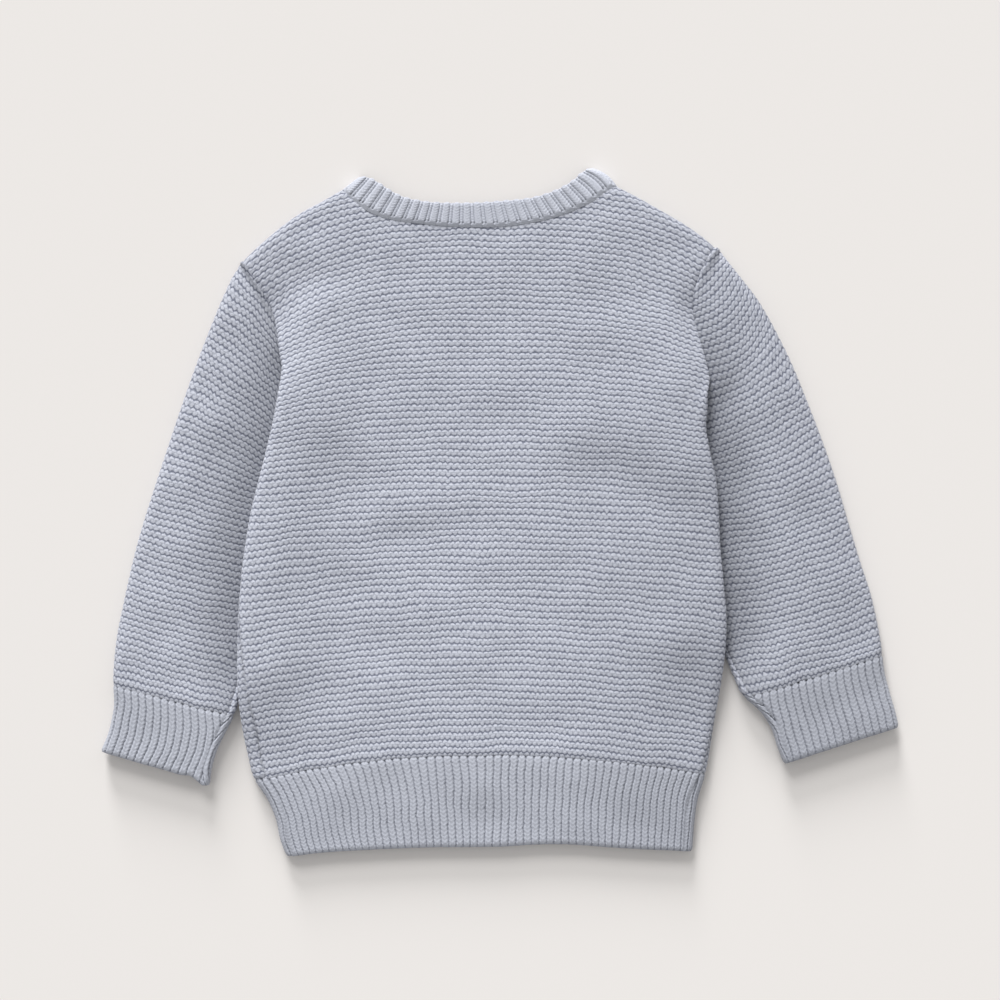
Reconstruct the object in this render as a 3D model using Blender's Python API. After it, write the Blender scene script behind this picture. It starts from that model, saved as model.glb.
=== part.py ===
"""A baby's garter-stitch sweater, laid flat on its front with its back upwards.

+X runs across the sweater, +Y from hem to neck and +Z up from the surface that it lies on. Every
part of it is a knitted tube pressed flat: the body with its hem rib, the two sleeves with their
cuffs, and the neckband. A tube is described row by row, from the fold on its left to the fold on
its right. The sleeves lie down beside the body, and its edges lie on top of them.

Tables are in millimetres, and the meshes are made in metres.
"""

import math

import bpy
import numpy as np

MM = 0.001

CLOTH = 2.2  # thickness of the knitted cloth
RIB_CLOTH = 2.5  # thickness of the ribbed neckband
SEAM_GAP = 0.3  # between two pieces that are sewn together
BODY_HEIGHT = 5.8  # two panels and the air between them
HEM_HEIGHT = 5.3
SLEEVE_HEIGHT = 5.6
TUCKED_HEIGHT = 4.8  # of a sleeve where the body's edge presses on it
NECK_HEIGHT = 6.8

BODY_FOLD = 6.0  # how far in a fold's rounding reaches, for each tube
SLEEVE_FOLD = 5.0
TUCKED_FOLD = 3.0
SHOULDER_FOLD = 5.0
NECK_FOLD = 4.0
OPEN_FOLD = SEAM_GAP / 2  # where an armhole opens the fold
LEAST_AIR = 0.2  # between the middle of a tube and the inside of its cloth

# The body's rows. The middle of a row is at mid_y; its ends hang lower by the two drops, in a
# curve of the power bend.
BODY_ROWS = (
    # mid_y, left_drop, right_drop, bend
    (-184.0, 5.2, 2.3, 2.6),
    (-160.0, 10.5, 6.5, 2.3),
    (-133.2, 14.0, 10.7, 2.0),
    (-100.0, 14.0, 10.5, 2.0),
    (-60.0, 13.0, 9.5, 2.0),
    (-20.0, 10.0, 8.0, 2.1),
    (20.0, 7.5, 7.0, 2.2),
    (60.0, 6.0, 7.0, 2.4),
    (100.0, 8.0, 8.5, 2.7),
    (130.0, 12.0, 10.5, 3.0),
    (157.0, 17.0, 12.5, 3.0),
    (190.0, 24.0, 17.0, 3.0),
)
ROW_MIDDLE = -8.0  # x of the middle of the rows
HEM_LINE = -133.2  # mid_y of the row where the rib begins
HEM_EDGE = -184.0
HEM_WAVE = 1.8  # a slight rise of the hem's edge, at this x and of this width
HEM_WAVE_X = 33.0
HEM_WAVE_WIDTH = 28.0

# Where the body ends at the left and right: the armhole seam from the shoulder to the underarm,
# then the side fold down to the hem.
LEFT_EDGE = (
    # y, x
    (-189.2, -117.2),
    (-180.0, -120.6),
    (-169.0, -123.0),
    (-158.0, -127.6),
    (-147.0, -134.8),
    (-133.0, -138.6),
    (-119.0, -141.4),
    (-100.0, -143.6),
    (-75.0, -143.8),
    (-49.0, -143.0),
    (-27.0, -141.0),
    (-5.0, -137.5),
    (17.0, -132.5),
    (39.0, -127.0),
    (58.0, -123.0),
    (75.0, -120.8),
    (92.0, -121.6),
    (108.0, -125.4),
    (122.0, -132.6),
    (137.2, -141.4),
)
RIGHT_EDGE = (
    # y, x
    (-186.4, 105.6),
    (-172.0, 106.6),
    (-158.0, 108.6),
    (-144.0, 112.8),
    (-126.0, 116.0),
    (-104.0, 119.9),
    (-84.0, 122.9),
    (-60.0, 124.3),
    (-40.0, 122.8),
    (-20.0, 121.0),
    (0.0, 120.0),
    (17.0, 118.3),
    (32.0, 115.4),
    (46.0, 113.6),
    (60.0, 111.9),
    (76.0, 110.0),
    (94.0, 108.4),
    (114.0, 107.2),
    (130.0, 110.6),
    (144.9, 118.3),
)
LEFT_UNDERARM = 88.0  # y where the armhole seam goes under the body's fold
RIGHT_UNDERARM = 64.0
UNDERARM_TURN = 14.0  # the seam takes this far to go under

# The back's side seams: how far in on top of the fold the seam lies.
SEAM_INSET = (
    # mid_y, left, right
    (-184.0, 5.4, 6.6),
    (-150.0, 7.6, 6.6),
    (-120.0, 9.4, 3.0),
    (-95.0, 8.6, 0.0),
    (-70.0, 5.6, 0.0),
    (-40.0, 1.0, 0.0),
    (-20.0, 0.0, 0.0),
)

# The shoulder folds.
SHOULDERS = (
    # x, y
    (-141.4, 137.2),
    (-132.0, 146.2),
    (-121.0, 155.6),
    (-110.0, 163.6),
    (-99.0, 169.6),
    (-86.4, 176.8),
    (-11.0, 215.0),
    (64.2, 178.6),
    (77.0, 171.9),
    (88.0, 165.6),
    (99.0, 159.2),
    (110.0, 151.7),
    (118.3, 144.9),
)
NECK_LEFT = (-86.4, 176.8)  # where the neck seam crosses the shoulder folds
NECK_RIGHT = (64.2, 178.6)
FRONT_NECK_DEPTH = 66.0  # of the front neck seam, below the shoulders

# The back neck: the seam, and the neckband's free edge.
NECK_SEAM = (
    # x, y
    (-86.4, 176.8),
    (-82.5, 171.9),
    (-77.0, 167.8),
    (-70.4, 163.9),
    (-61.0, 160.6),
    (-44.0, 158.0),
    (-22.0, 156.2),
    (0.0, 156.3),
    (22.0, 159.3),
    (38.0, 164.2),
    (49.5, 169.6),
    (57.5, 174.4),
    (64.2, 178.6),
)
NECK_EDGE = (
    # x, y
    (-77.5, 183.7),
    (-71.5, 182.8),
    (-66.0, 179.8),
    (-60.5, 176.2),
    (-54.0, 172.8),
    (-44.0, 170.3),
    (-22.0, 169.0),
    (0.0, 170.0),
    (22.0, 173.0),
    (33.0, 177.2),
    (40.0, 181.4),
    (45.5, 186.2),
    (50.5, 188.7),
)
EDGE_LEFT = (-77.5, 183.7)
EDGE_RIGHT = (50.5, 188.7)
FRONT_EDGE_DEPTH = 60.0
RIGHT_BULGE = (1.1, 1.4)  # x and y by which the neckband's right fold bulges halfway up
BULGE_START = 0.85  # share of the way round the band where that bulge begins
SCOOP_POWER = 1.7  # of the front neck's curve: 1 is an ellipse and 2 a parabola
NECK_RISE_SHARE = 0.12  # of its length from each fold, over which the neckband stands up

# A sleeve's rows, from the cuff's end up. A row runs from the fold beside the body to the outer
# fold. The inner end lies tuck millimetres in from the body's edge, under it.
LEFT_SLEEVE = (
    # inner_y, tuck, outer_x, outer_y, bow
    (-149.0, -24.6, -219.1, -131.4, 0.0),
    (-130.6, -15.8, -213.9, -117.5, 0.0),
    (-121.8, -9.8, -211.9, -106.5, 0.0),
    (-111.9, -3.2, -212.3, -94.3, -0.5),
    (-90.0, 4.0, -210.6, -71.0, -1.0),
    (-66.0, 12.0, -206.3, -48.7, -1.5),
    (-44.0, 14.0, -201.4, -26.7, -1.5),
    (-21.0, 14.0, -195.3, -4.7, -1.5),
    (-1.0, 13.0, -188.3, 17.3, -1.0),
    (18.0, 11.0, -181.0, 39.3, -1.0),
    (36.0, 8.0, -173.6, 61.3, -1.0),
    (56.0, -0.3, -165.8, 83.3, -1.0),
    (76.0, -0.3, -157.2, 105.3, 0.0),
    (88.0, 0.0, -152.6, 116.3, 0.0),
    (98.0, 0.0, -147.6, 127.3, 0.0),
    (112.0, 0.0, -144.4, 132.6, 0.0),
    (133.0, 0.0, -142.2, 136.6, 0.0),
)
RIGHT_SLEEVE = (
    # inner_y, tuck, outer_x, outer_y, bow
    (-138.5, -41.6, 218.9, -118.0, 0.0),
    (-129.0, -36.4, 216.9, -109.5, 0.0),
    (-117.4, -30.3, 213.6, -98.0, 0.0),
    (-108.6, -22.4, 211.0, -88.0, -0.5),
    (-101.5, -13.2, 209.8, -78.2, -1.0),
    (-90.0, -5.6, 208.9, -70.7, -1.5),
    (-71.6, 3.0, 204.4, -48.7, -3.0),
    (-48.0, 9.0, 197.5, -26.7, -4.0),
    (-26.4, 13.0, 190.9, -4.7, -4.0),
    (-5.0, 14.0, 184.4, 17.3, -4.0),
    (14.0, 8.0, 176.8, 39.3, -4.0),
    (34.0, -0.3, 168.3, 61.3, -3.0),
    (54.0, -0.3, 159.2, 83.3, -2.0),
    (64.0, 0.0, 153.8, 94.3, -1.0),
    (76.0, 0.0, 148.0, 105.3, 0.0),
    (88.0, 0.0, 141.4, 116.3, 0.0),
    (102.0, 0.0, 133.1, 127.3, 0.0),
    (118.0, 0.0, 125.0, 137.6, 0.0),
    (140.5, 0.0, 119.9, 142.6, 0.0),
)
LEFT_CUFF_LINE = -111.9  # inner_y of the row where each cuff begins
RIGHT_CUFF_LINE = -101.5
SLEEVE_SEAM_INSET = 6.0  # of the seam under the arm, on top of the sleeve's fold at the cuff
SEAM_REACH = 60.0  # above the cuff line, where that inset is gone
MEET_RUN = 4.0  # below the underarm's turn, from where sleeve and body share their rows

# Soft folds in the back, along straight lines.
BACK_FOLDS = (
    # x0, y0, x1, y1, width, height
    (-128.0, 92.0, -88.0, 122.0, 9.0, 1.6),
    (-66.0, 96.0, -62.0, -60.0, 10.0, 0.7),
    (-66.0, -18.0, -34.0, 4.0, 13.0, -0.7),
    (104.0, 110.0, 112.0, 60.0, 9.0, 0.9),
    (62.0, 30.0, 40.0, 60.0, 14.0, 0.6),
    (-100.0, -40.0, 20.0, -52.0, 16.0, 0.6),
    (30.0, -90.0, 100.0, -70.0, 15.0, 0.7),
)

LIFT = TUCKED_HEIGHT + 0.45  # of the body's edges where they lie on the sleeves
LIFT_FULL = 18.0  # how far in from the edge the body is lifted in full
LIFT_END = 42.0  # and where it is down on the surface again
LIFT_RUN = 32.0  # length of the slope along the edge
LEFT_SLEEVE_OUT = -84.0  # y where a sleeve comes out from under the body
RIGHT_SLEEVE_OUT = -62.0

FOLD_STEPS = 3  # facets round a quarter of a fold
SIDE_STEPS = 5  # columns from a side seam to the first share
HEM_STEPS = 3
CUFF_STEPS = 4
BODY_STEPS = 13
YOKE_STEPS = 4
SHARED_TOP = 96.0  # both panels and all their columns share their rows up to here
SLEEVE_ROWS = 9  # below the underarm
SLEEVE_STEPS = 4  # columns across a sleeve
NECK_STEPS = 2
SIDE_SHARES = (0.062, 0.108, 0.16)  # columns beside each edge, as shares of the width
EDGE_SHARE = 0.0005
SLEEVE_SHARE = 0.2  # of a sleeve's width, where its columns beside the inner fold end
NECK_COLUMNS = 8
BAND_START = 0.035  # the neckband's first row, just clear of the neck seam


def smooth(table, column, at):
    """One column of a table whose first column is the knots, as a curve through its rows."""
    rows = np.array(table, float)
    knots = rows[:, 0]
    values = rows[:, column]
    slopes = np.gradient(values, knots)
    at = np.clip(at, knots[0], knots[-1])
    i = np.clip(np.searchsorted(knots, at, side="right") - 1, 0, len(knots) - 2)
    step = knots[i + 1] - knots[i]
    t = (at - knots[i]) / step
    start = (1 + 2 * t) * (1 - t) ** 2 * values[i] + t * (1 - t) ** 2 * step * slopes[i]
    end = t * t * (3 - 2 * t) * values[i + 1] + t * t * (t - 1) * step * slopes[i + 1]
    return start + end


def ease(low, high, at):
    """0 below low and 1 above high, with a smooth rise between them."""
    t = np.clip((at - low) / (high - low), 0, 1)
    return t * t * (3 - 2 * t)


def soft_folds(table, x, y):
    """Height of the soft folds at a place: a ridge or trough round each line of the table."""
    height = np.zeros_like(x)
    for x0, y0, x1, y1, width, most in table:
        run = np.array((x1 - x0, y1 - y0))
        along = np.clip(((x - x0) * run[0] + (y - y0) * run[1]) / (run @ run), 0, 1)
        away = np.hypot(x - x0 - along * run[0], y - y0 - along * run[1])
        height += most * np.exp(-((away / width) ** 2))
    return height


class Tube:
    """A knitted tube pressed flat, as the shapes of its rows.

    A place on it is a row, and a turn: 0 at the left fold, 1 where its rounding ends on top, 2
    where the right fold's begins, 3 at the right fold, then 4, 5 and 6 back on the underside.
    """

    def folds(self, row):
        """The reach of the left and right folds' rounding."""
        raise NotImplementedError

    def ends(self, row):
        """x and y of the left and right folds."""
        raise NotImplementedError

    def plan(self, row, share, under):
        """x and y at a share of the way from the left fold to the right one."""
        raise NotImplementedError

    def heights(self, row, share, x, y):
        """The cloth's lower and upper height."""
        raise NotImplementedError

    def lengths(self, row):
        """Round the left fold to the top, across the top, and round the right fold."""
        left, right = self.folds(row)
        x0, y0, x1, y1 = self.ends(row)
        half = BODY_HEIGHT / 2
        quarter_left = math.pi / 2 * np.sqrt((left**2 + half**2) / 2)
        quarter_right = math.pi / 2 * np.sqrt((right**2 + half**2) / 2)
        return quarter_left, np.hypot(x1 - x0, y1 - y0) - left - right, quarter_right

    def turn_from_left(self, row, arc):
        """The turn at a length of arc from the left fold, towards the top if it is positive."""
        quarter, flat, _ = self.lengths(row)
        size = np.abs(arc)
        return np.sign(arc) * np.where(size < quarter, size / quarter, 1 + (size - quarter) / flat)

    def turn_from_right(self, row, arc):
        _, flat, quarter = self.lengths(row)
        size = np.abs(arc)
        turn = np.where(size < quarter, size / quarter, 1 + (size - quarter) / flat)
        return 3 - np.sign(arc) * turn

    def turn_at(self, row, share):
        """The turn on top at a share of the way from the left fold to the right one."""
        left, right = self.folds(row)
        x0, y0, x1, y1 = self.ends(row)
        width = np.hypot(x1 - x0, y1 - y0)
        across = share * width
        round_left = np.arccos(np.clip(1 - across / left, -1, 1)) / (math.pi / 2)
        round_right = np.arccos(np.clip(1 - (width - across) / right, -1, 1)) / (math.pi / 2)
        turn = 1 + (across - left) / (width - left - right)
        turn = np.where(across < left, round_left, turn)
        return np.where(across > width - right, 3 - round_right, turn)

    def point(self, row, turn, depth):
        """x, y and z, at a depth in from the outer face."""
        turn = np.mod(turn, 6)
        under = turn > 3
        u = np.where(under, 6 - turn, turn)
        left, right = self.folds(row)
        x0, y0, x1, y1 = self.ends(row)
        width = np.hypot(x1 - x0, y1 - y0)
        left_angle = np.clip(u, 0, 1) * math.pi / 2
        right_angle = np.clip(3 - u, 0, 1) * math.pi / 2
        flat = width - left - right
        across = np.where(
            u < 1,
            left - np.maximum(left - depth, 0.05) * np.cos(left_angle),
            left + np.clip(u - 1, 0, 1) * flat,
        )
        near_right = width - right + np.maximum(right - depth, 0.05) * np.cos(right_angle)
        across = np.where(u > 2, near_right, across)
        share = across / width
        x, y = self.plan(row, share, under)
        low, high = self.heights(row, share, x, y)
        y, close = self.close_top(x, y, depth)
        rise = np.sin(left_angle) * np.sin(right_angle) * close
        half = ((high - low) / 2 - depth) * rise
        half = np.maximum(half, LEAST_AIR * np.minimum(1, 10 * rise))
        return x, y, (low + high) / 2 + np.where(under, -half, half)

    def close_top(self, x, y, depth):
        """Rounds the tube off where a fold also closes its end: here nowhere."""
        return y, 1.0


class Body(Tube):
    """The body with its hem rib. A row is the y of its middle."""

    def ends(self, row):
        y0 = row - smooth(BODY_ROWS, 1, row)
        y1 = row - smooth(BODY_ROWS, 2, row)
        return smooth(LEFT_EDGE, 1, y0), y0, smooth(RIGHT_EDGE, 1, y1), y1

    def opening(self, row):
        """1 where an armhole opens the fold and 0 below it, at the left and right."""
        _, y0, _, y1 = self.ends(row)
        left = ease(LEFT_UNDERARM - UNDERARM_TURN, LEFT_UNDERARM, y0)
        return left, ease(RIGHT_UNDERARM - UNDERARM_TURN, RIGHT_UNDERARM, y1)

    def folds(self, row):
        left, right = self.opening(row)
        return (
            BODY_FOLD + (OPEN_FOLD - BODY_FOLD) * left,
            BODY_FOLD + (OPEN_FOLD - BODY_FOLD) * right,
        )

    def plan(self, row, share, under):
        x0, _, x1, _ = self.ends(row)
        x = x0 + share * (x1 - x0)
        left = np.clip((ROW_MIDDLE - x) / (ROW_MIDDLE - x0), 0, 1)
        right = np.clip((x - ROW_MIDDLE) / (x1 - ROW_MIDDLE), 0, 1)
        bend = smooth(BODY_ROWS, 3, row)
        drop = smooth(BODY_ROWS, 1, row) * left**bend + smooth(BODY_ROWS, 2, row) * right**bend
        wave = np.exp(-(((x - HEM_WAVE_X) / HEM_WAVE_WIDTH) ** 2))
        rise = HEM_WAVE * wave * (1 - ease(HEM_EDGE, HEM_LINE, row))
        return x, row - drop + rise

    def heights(self, row, share, x, y):
        x0, y0, x1, y1 = self.ends(row)
        left = 1 - ease(LIFT_FULL, LIFT_END, share * (x1 - x0))
        left *= 1 - ease(LEFT_UNDERARM - LIFT_RUN, LEFT_UNDERARM, y0)
        left *= ease(LEFT_SLEEVE_OUT - LIFT_RUN, LEFT_SLEEVE_OUT, y0)
        right = 1 - ease(LIFT_FULL, LIFT_END, (1 - share) * (x1 - x0))
        right *= 1 - ease(RIGHT_UNDERARM - LIFT_RUN, RIGHT_UNDERARM, y1)
        right *= ease(RIGHT_SLEEVE_OUT - LIFT_RUN, RIGHT_SLEEVE_OUT, y1)
        low = LIFT * (left + right)
        rib = 1 - ease(HEM_EDGE, HEM_LINE, row)
        high = low + BODY_HEIGHT + (HEM_HEIGHT - BODY_HEIGHT) * rib
        return low, high + soft_folds(BACK_FOLDS, x, y)

    def close_top(self, x, y, depth):
        start = smooth(SHOULDERS, 1, x) - SHOULDER_FOLD
        angle = np.clip((y - start) / self.shoulder_arc(), 0, 1) * math.pi / 2
        rounded = start + (SHOULDER_FOLD - depth) * np.sin(angle)
        return np.where(y > start, rounded, y), np.where(y > start, np.cos(angle), 1.0)

    def shoulder_arc(self):
        half = BODY_HEIGHT / 2
        return math.pi / 2 * math.sqrt((SHOULDER_FOLD**2 + half**2) / 2)

    def top(self, x, under):
        """y where a panel ends, measured along the cloth: at a shoulder seam or the neck seam."""
        shoulder = smooth(SHOULDERS, 1, x) - SHOULDER_FOLD + self.shoulder_arc() - SEAM_GAP / 2
        if under:
            neck = hanging(front_share(x), NECK_LEFT, NECK_RIGHT, FRONT_NECK_DEPTH)[1]
        else:
            neck = smooth(NECK_SEAM, 1, x)
        inside = (x > NECK_LEFT[0]) & (x < NECK_RIGHT[0])
        return np.where(inside, np.minimum(neck - SEAM_GAP / 2, shoulder), shoulder)

    def last_row(self, share, under):
        """The row at which a column reaches its panel's top."""
        low = np.full_like(share, 60.0)
        high = np.full_like(share, 190.0)
        for _ in range(40):
            row = (low + high) / 2
            x, y = self.plan(row, share, under)
            above = y > self.top(x, under)
            high = np.where(above, row, high)
            low = np.where(above, low, row)
        return low


def front_share(x):
    """The share of the way round the front neck seam at a place across."""
    away = (2 * x - NECK_LEFT[0] - NECK_RIGHT[0]) / (NECK_RIGHT[0] - NECK_LEFT[0])
    return np.arccos(np.clip(-away, -1, 1)) / math.pi


class Sleeve(Tube):
    """A sleeve with its cuff. A row is the y of its end beside the body. side is -1 or 1."""

    def __init__(self, side, table, underarm, cuff_line):
        self.side = side
        self.table = table
        self.underarm = underarm
        self.cuff_line = cuff_line
        self.bottom = table[0][0]
        self.top = table[-1][0]

    def opening(self, row):
        return ease(self.underarm - UNDERARM_TURN, self.underarm, row)

    def ends(self, row):
        edge = smooth(LEFT_EDGE if self.side < 0 else RIGHT_EDGE, 1, row)
        inner = edge - self.side * smooth(self.table, 1, row)
        outer_x = smooth(self.table, 2, row)
        outer_y = smooth(self.table, 3, row)
        if self.side < 0:
            return outer_x, outer_y, inner, row
        return inner, row, outer_x, outer_y

    def folds(self, row):
        x0, y0, x1, y1 = self.ends(row)
        inner = TUCKED_FOLD + (OPEN_FOLD - TUCKED_FOLD) * self.opening(row)
        outer = np.minimum(SLEEVE_FOLD, np.hypot(x1 - x0, y1 - y0) * 0.4)
        return (outer, inner) if self.side < 0 else (inner, outer)

    def plan(self, row, share, under):
        x0, y0, x1, y1 = self.ends(row)
        width = np.hypot(x1 - x0, y1 - y0)
        bow = smooth(self.table, 4, row) * 4 * share * (1 - share)
        x = x0 + share * (x1 - x0) - bow * (y1 - y0) / width
        return x, y0 + share * (y1 - y0) + bow * (x1 - x0) / width

    def heights(self, row, share, x, y):
        x0, y0, x1, y1 = self.ends(row)
        from_inner = (1 - share if self.side < 0 else share) * np.hypot(x1 - x0, y1 - y0)
        beyond = from_inner - smooth(self.table, 1, row)
        pressed = 1 - ease(3.0, 24.0, beyond)
        pressed *= ease(self.cuff_line - 4, self.cuff_line + 30, row)
        high = SLEEVE_HEIGHT + (TUCKED_HEIGHT - SLEEVE_HEIGHT) * pressed
        joined = self.opening(row) * (1 - ease(2.0, 20.0, from_inner))
        return np.zeros_like(x), high + (BODY_HEIGHT - high) * joined


class Neckband(Tube):
    """The neckband. A row is 0 along the neck seam and 1 along the free edge."""

    def folds(self, row):
        return np.full_like(row, NECK_FOLD), np.full_like(row, NECK_FOLD)

    def ends(self, row):
        x0 = NECK_LEFT[0] + (EDGE_LEFT[0] - NECK_LEFT[0]) * row
        y0 = NECK_LEFT[1] + (EDGE_LEFT[1] - NECK_LEFT[1]) * row
        x1 = NECK_RIGHT[0] + (EDGE_RIGHT[0] - NECK_RIGHT[0]) * row
        y1 = NECK_RIGHT[1] + (EDGE_RIGHT[1] - NECK_RIGHT[1]) * row
        bulge = 4 * row * (1 - row)
        return x0, y0, x1 + RIGHT_BULGE[0] * bulge, y1 + RIGHT_BULGE[1] * bulge

    def plan(self, row, share, under):
        seam_x, seam_y = along(NECK_SEAM, share)
        edge_x, edge_y = along(NECK_EDGE, share)
        low_x, low_y = hanging(share, NECK_LEFT, NECK_RIGHT, FRONT_NECK_DEPTH)
        free_x, free_y = hanging(share, EDGE_LEFT, EDGE_RIGHT, FRONT_EDGE_DEPTH)
        x0, y0 = np.where(under, low_x, seam_x), np.where(under, low_y, seam_y)
        x1, y1 = np.where(under, free_x, edge_x), np.where(under, free_y, edge_y)
        bulge = 4 * row * (1 - row) * ease(BULGE_START, 1, share)
        x = x0 + row * (x1 - x0) + RIGHT_BULGE[0] * bulge
        return x, y0 + row * (y1 - y0) + RIGHT_BULGE[1] * bulge

    def heights(self, row, share, x, y):
        middle = ease(0, NECK_RISE_SHARE, share) * ease(0, NECK_RISE_SHARE, 1 - share)
        return np.zeros_like(x), BODY_HEIGHT + (NECK_HEIGHT - BODY_HEIGHT) * middle


def lengths_along(line):
    """The share of a line's length at each of its points."""
    points = np.array(line)
    steps = np.hypot(*np.diff(points, axis=0).T)
    total = np.concatenate(([0], np.cumsum(steps)))
    return total / total[-1]


def along(line, share):
    """x and y at a share of a line's length."""
    table = np.column_stack((lengths_along(line), line))
    return smooth(table, 1, share), smooth(table, 2, share)


def hanging(share, left, right, depth):
    """x and y at a share of the way round a scoop that hangs between two places."""
    away = -np.cos(math.pi * share)
    x = (left[0] + right[0]) / 2 + away * (right[0] - left[0]) / 2
    level = (left[1] + right[1]) / 2 + away * (right[1] - left[1]) / 2
    return x, level - depth * np.abs(np.sin(math.pi * share)) ** SCOOP_POWER


def wall(name, outer, inner, material, ring=False):
    """A closed solid between two grids of points, as a new object.

    The grids are rows of points, seen from outside with the turns running to the right and the
    rows up. Where ring is true, the last point of a row is next to its first.
    """
    rows, columns, _ = outer.shape
    points = np.concatenate((outer.reshape(-1, 3), inner.reshape(-1, 3))) * MM
    behind = rows * columns
    faces = []
    steps = columns if ring else columns - 1
    for i in range(rows - 1):
        for j in range(steps):
            k = (j + 1) % columns
            a, b = i * columns + j, i * columns + k
            c, d = b + columns, a + columns
            faces.append((a, b, c, d))
            faces.append((behind + d, behind + c, behind + b, behind + a))
    for j in range(steps):
        k = (j + 1) % columns
        faces.append((behind + j, behind + k, k, j))
        top = (rows - 1) * columns
        faces.append((top + j, top + k, behind + top + k, behind + top + j))
    if not ring:
        # Both rims are split from outer point to inner point, so that they match across a seam.
        for i in range(rows - 1):
            a, d = i * columns, (i + 1) * columns
            faces.append((behind + a, a, behind + d))
            faces.append((a, d, behind + d))
            a, d = a + columns - 1, d + columns - 1
            faces.append((a, behind + a, behind + d))
            faces.append((a, behind + d, d))
    mesh = bpy.data.meshes.new(name)
    mesh.from_pydata(points.tolist(), [], faces)
    mesh.shade_smooth()
    mesh.set_sharp_from_angle(angle=math.radians(40))
    mesh.materials.append(material)
    piece = bpy.data.objects.new(name, mesh)
    bpy.context.scene.collection.objects.link(piece)
    return piece


def knit_material(name, colour):
    material = bpy.data.materials.new(name)
    material.use_nodes = True
    shader = material.node_tree.nodes["Principled BSDF"]
    shader.inputs["Base Color"].default_value = (*colour, 1.0)
    shader.inputs["Roughness"].default_value = 0.9
    shader.inputs["Metallic"].default_value = 0.0
    return material


def build(name, tube, columns, cloth, material, ring=False):
    """The wall over a tube through columns of (rows, turns), in the order seen from outside."""
    rows = np.stack([column[0] for column in columns], axis=-1)
    turns = np.stack([column[1] for column in columns], axis=-1)
    outer = np.stack(tube.point(rows, turns, 0.0), axis=-1)
    inner = np.stack(tube.point(rows, turns, cloth), axis=-1)
    return wall(name, outer, inner, material, ring)


def seam_arc(inset, opening, quarter, side):
    """How far round from the fold a piece ends, towards its own face, at a side seam.

    side is 1 for cloth on top and -1 for cloth underneath. The seam lies inset millimetres in on
    top of the fold, or at the face's corner where an armhole is open.
    """
    closed = side * inset + SEAM_GAP / 2
    return closed + (quarter - closed) * opening


def panel_rows(body, share, under, bottom, top):
    """The rows of a column of a panel, up to row top, or to the panel's own end if it is None."""
    if top is not None:
        return np.linspace(bottom, top, HEM_STEPS + 1)
    last = body.last_row(np.array(share), under)
    arc = body.shoulder_arc()
    shared = np.linspace(bottom, SHARED_TOP, BODY_STEPS + 1)
    own = np.linspace(SHARED_TOP, last - arc, YOKE_STEPS + 1)
    rounding = last - arc + arc * np.linspace(0, 1, FOLD_STEPS + 1)
    return np.concatenate((shared, own[1:], rounding[1:]))


def side_rows(body, share, edge, step, under, bottom, top):
    """The rows of a side column, so many steps from the seam towards the column at the share."""
    at_edge = panel_rows(body, edge, under, bottom, top)
    inside = panel_rows(body, share, under, bottom, top)
    return at_edge + (inside - at_edge) * step / SIDE_STEPS


def panel(name, body, under, bottom, top, material):
    """The back or, under it, the front, or their part of the hem rib, as columns from left to right."""
    side = -1 if under else 1
    shares = body_shares(body)
    columns = []
    for k in range(SIDE_STEPS):
        rows = side_rows(body, shares[0], EDGE_SHARE, k, under, bottom, top)
        inset = smooth(SEAM_INSET, 1, rows)
        arc = seam_arc(inset, body.opening(rows)[0], body.lengths(rows)[0], side)
        seam = body.turn_from_left(rows, arc)
        first = body.turn_at(rows, shares[0])
        columns.append((rows, seam + (first - seam) * k / SIDE_STEPS))
    for share in shares:
        rows = panel_rows(body, share, under, bottom, top)
        columns.append((rows, body.turn_at(rows, share)))
    for k in reversed(range(SIDE_STEPS)):
        rows = side_rows(body, shares[-1], 1 - EDGE_SHARE, k, under, bottom, top)
        inset = smooth(SEAM_INSET, 2, rows)
        arc = seam_arc(inset, body.opening(rows)[1], body.lengths(rows)[2], side)
        seam = body.turn_from_right(rows, arc)
        last = body.turn_at(rows, shares[-1])
        columns.append((rows, seam + (last - seam) * k / SIDE_STEPS))
    if under:
        columns = [(rows, -turns) for rows, turns in reversed(columns)]
    return build(name, body, columns, CLOTH, material)


def body_shares(body):
    """The columns of the body's panels between their side columns, as shares of the width."""
    x0, _, x1, _ = body.ends(np.array(NECK_LEFT[1]))
    angles = np.linspace(0, math.pi, NECK_COLUMNS + 1)
    middle = (NECK_LEFT[0] + NECK_RIGHT[0]) / 2
    neck_x = middle - (NECK_RIGHT[0] - NECK_LEFT[0]) / 2 * np.cos(angles)
    neck = (neck_x - x0) / (x1 - x0)
    return np.concatenate((SIDE_SHARES, neck, 1 - np.array(SIDE_SHARES[::-1])))


def through(rows, *stops):
    """Columns of turns through stops. Each stop is (turn, steps to the next)."""
    turns = []
    for (here, steps), (there, _) in zip(stops, stops[1:]):
        turns += [here + (there - here) * k / steps for k in range(steps)]
    turns.append(stops[-1][0])
    return [(rows, turn + np.zeros_like(rows)) for turn in turns]


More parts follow.
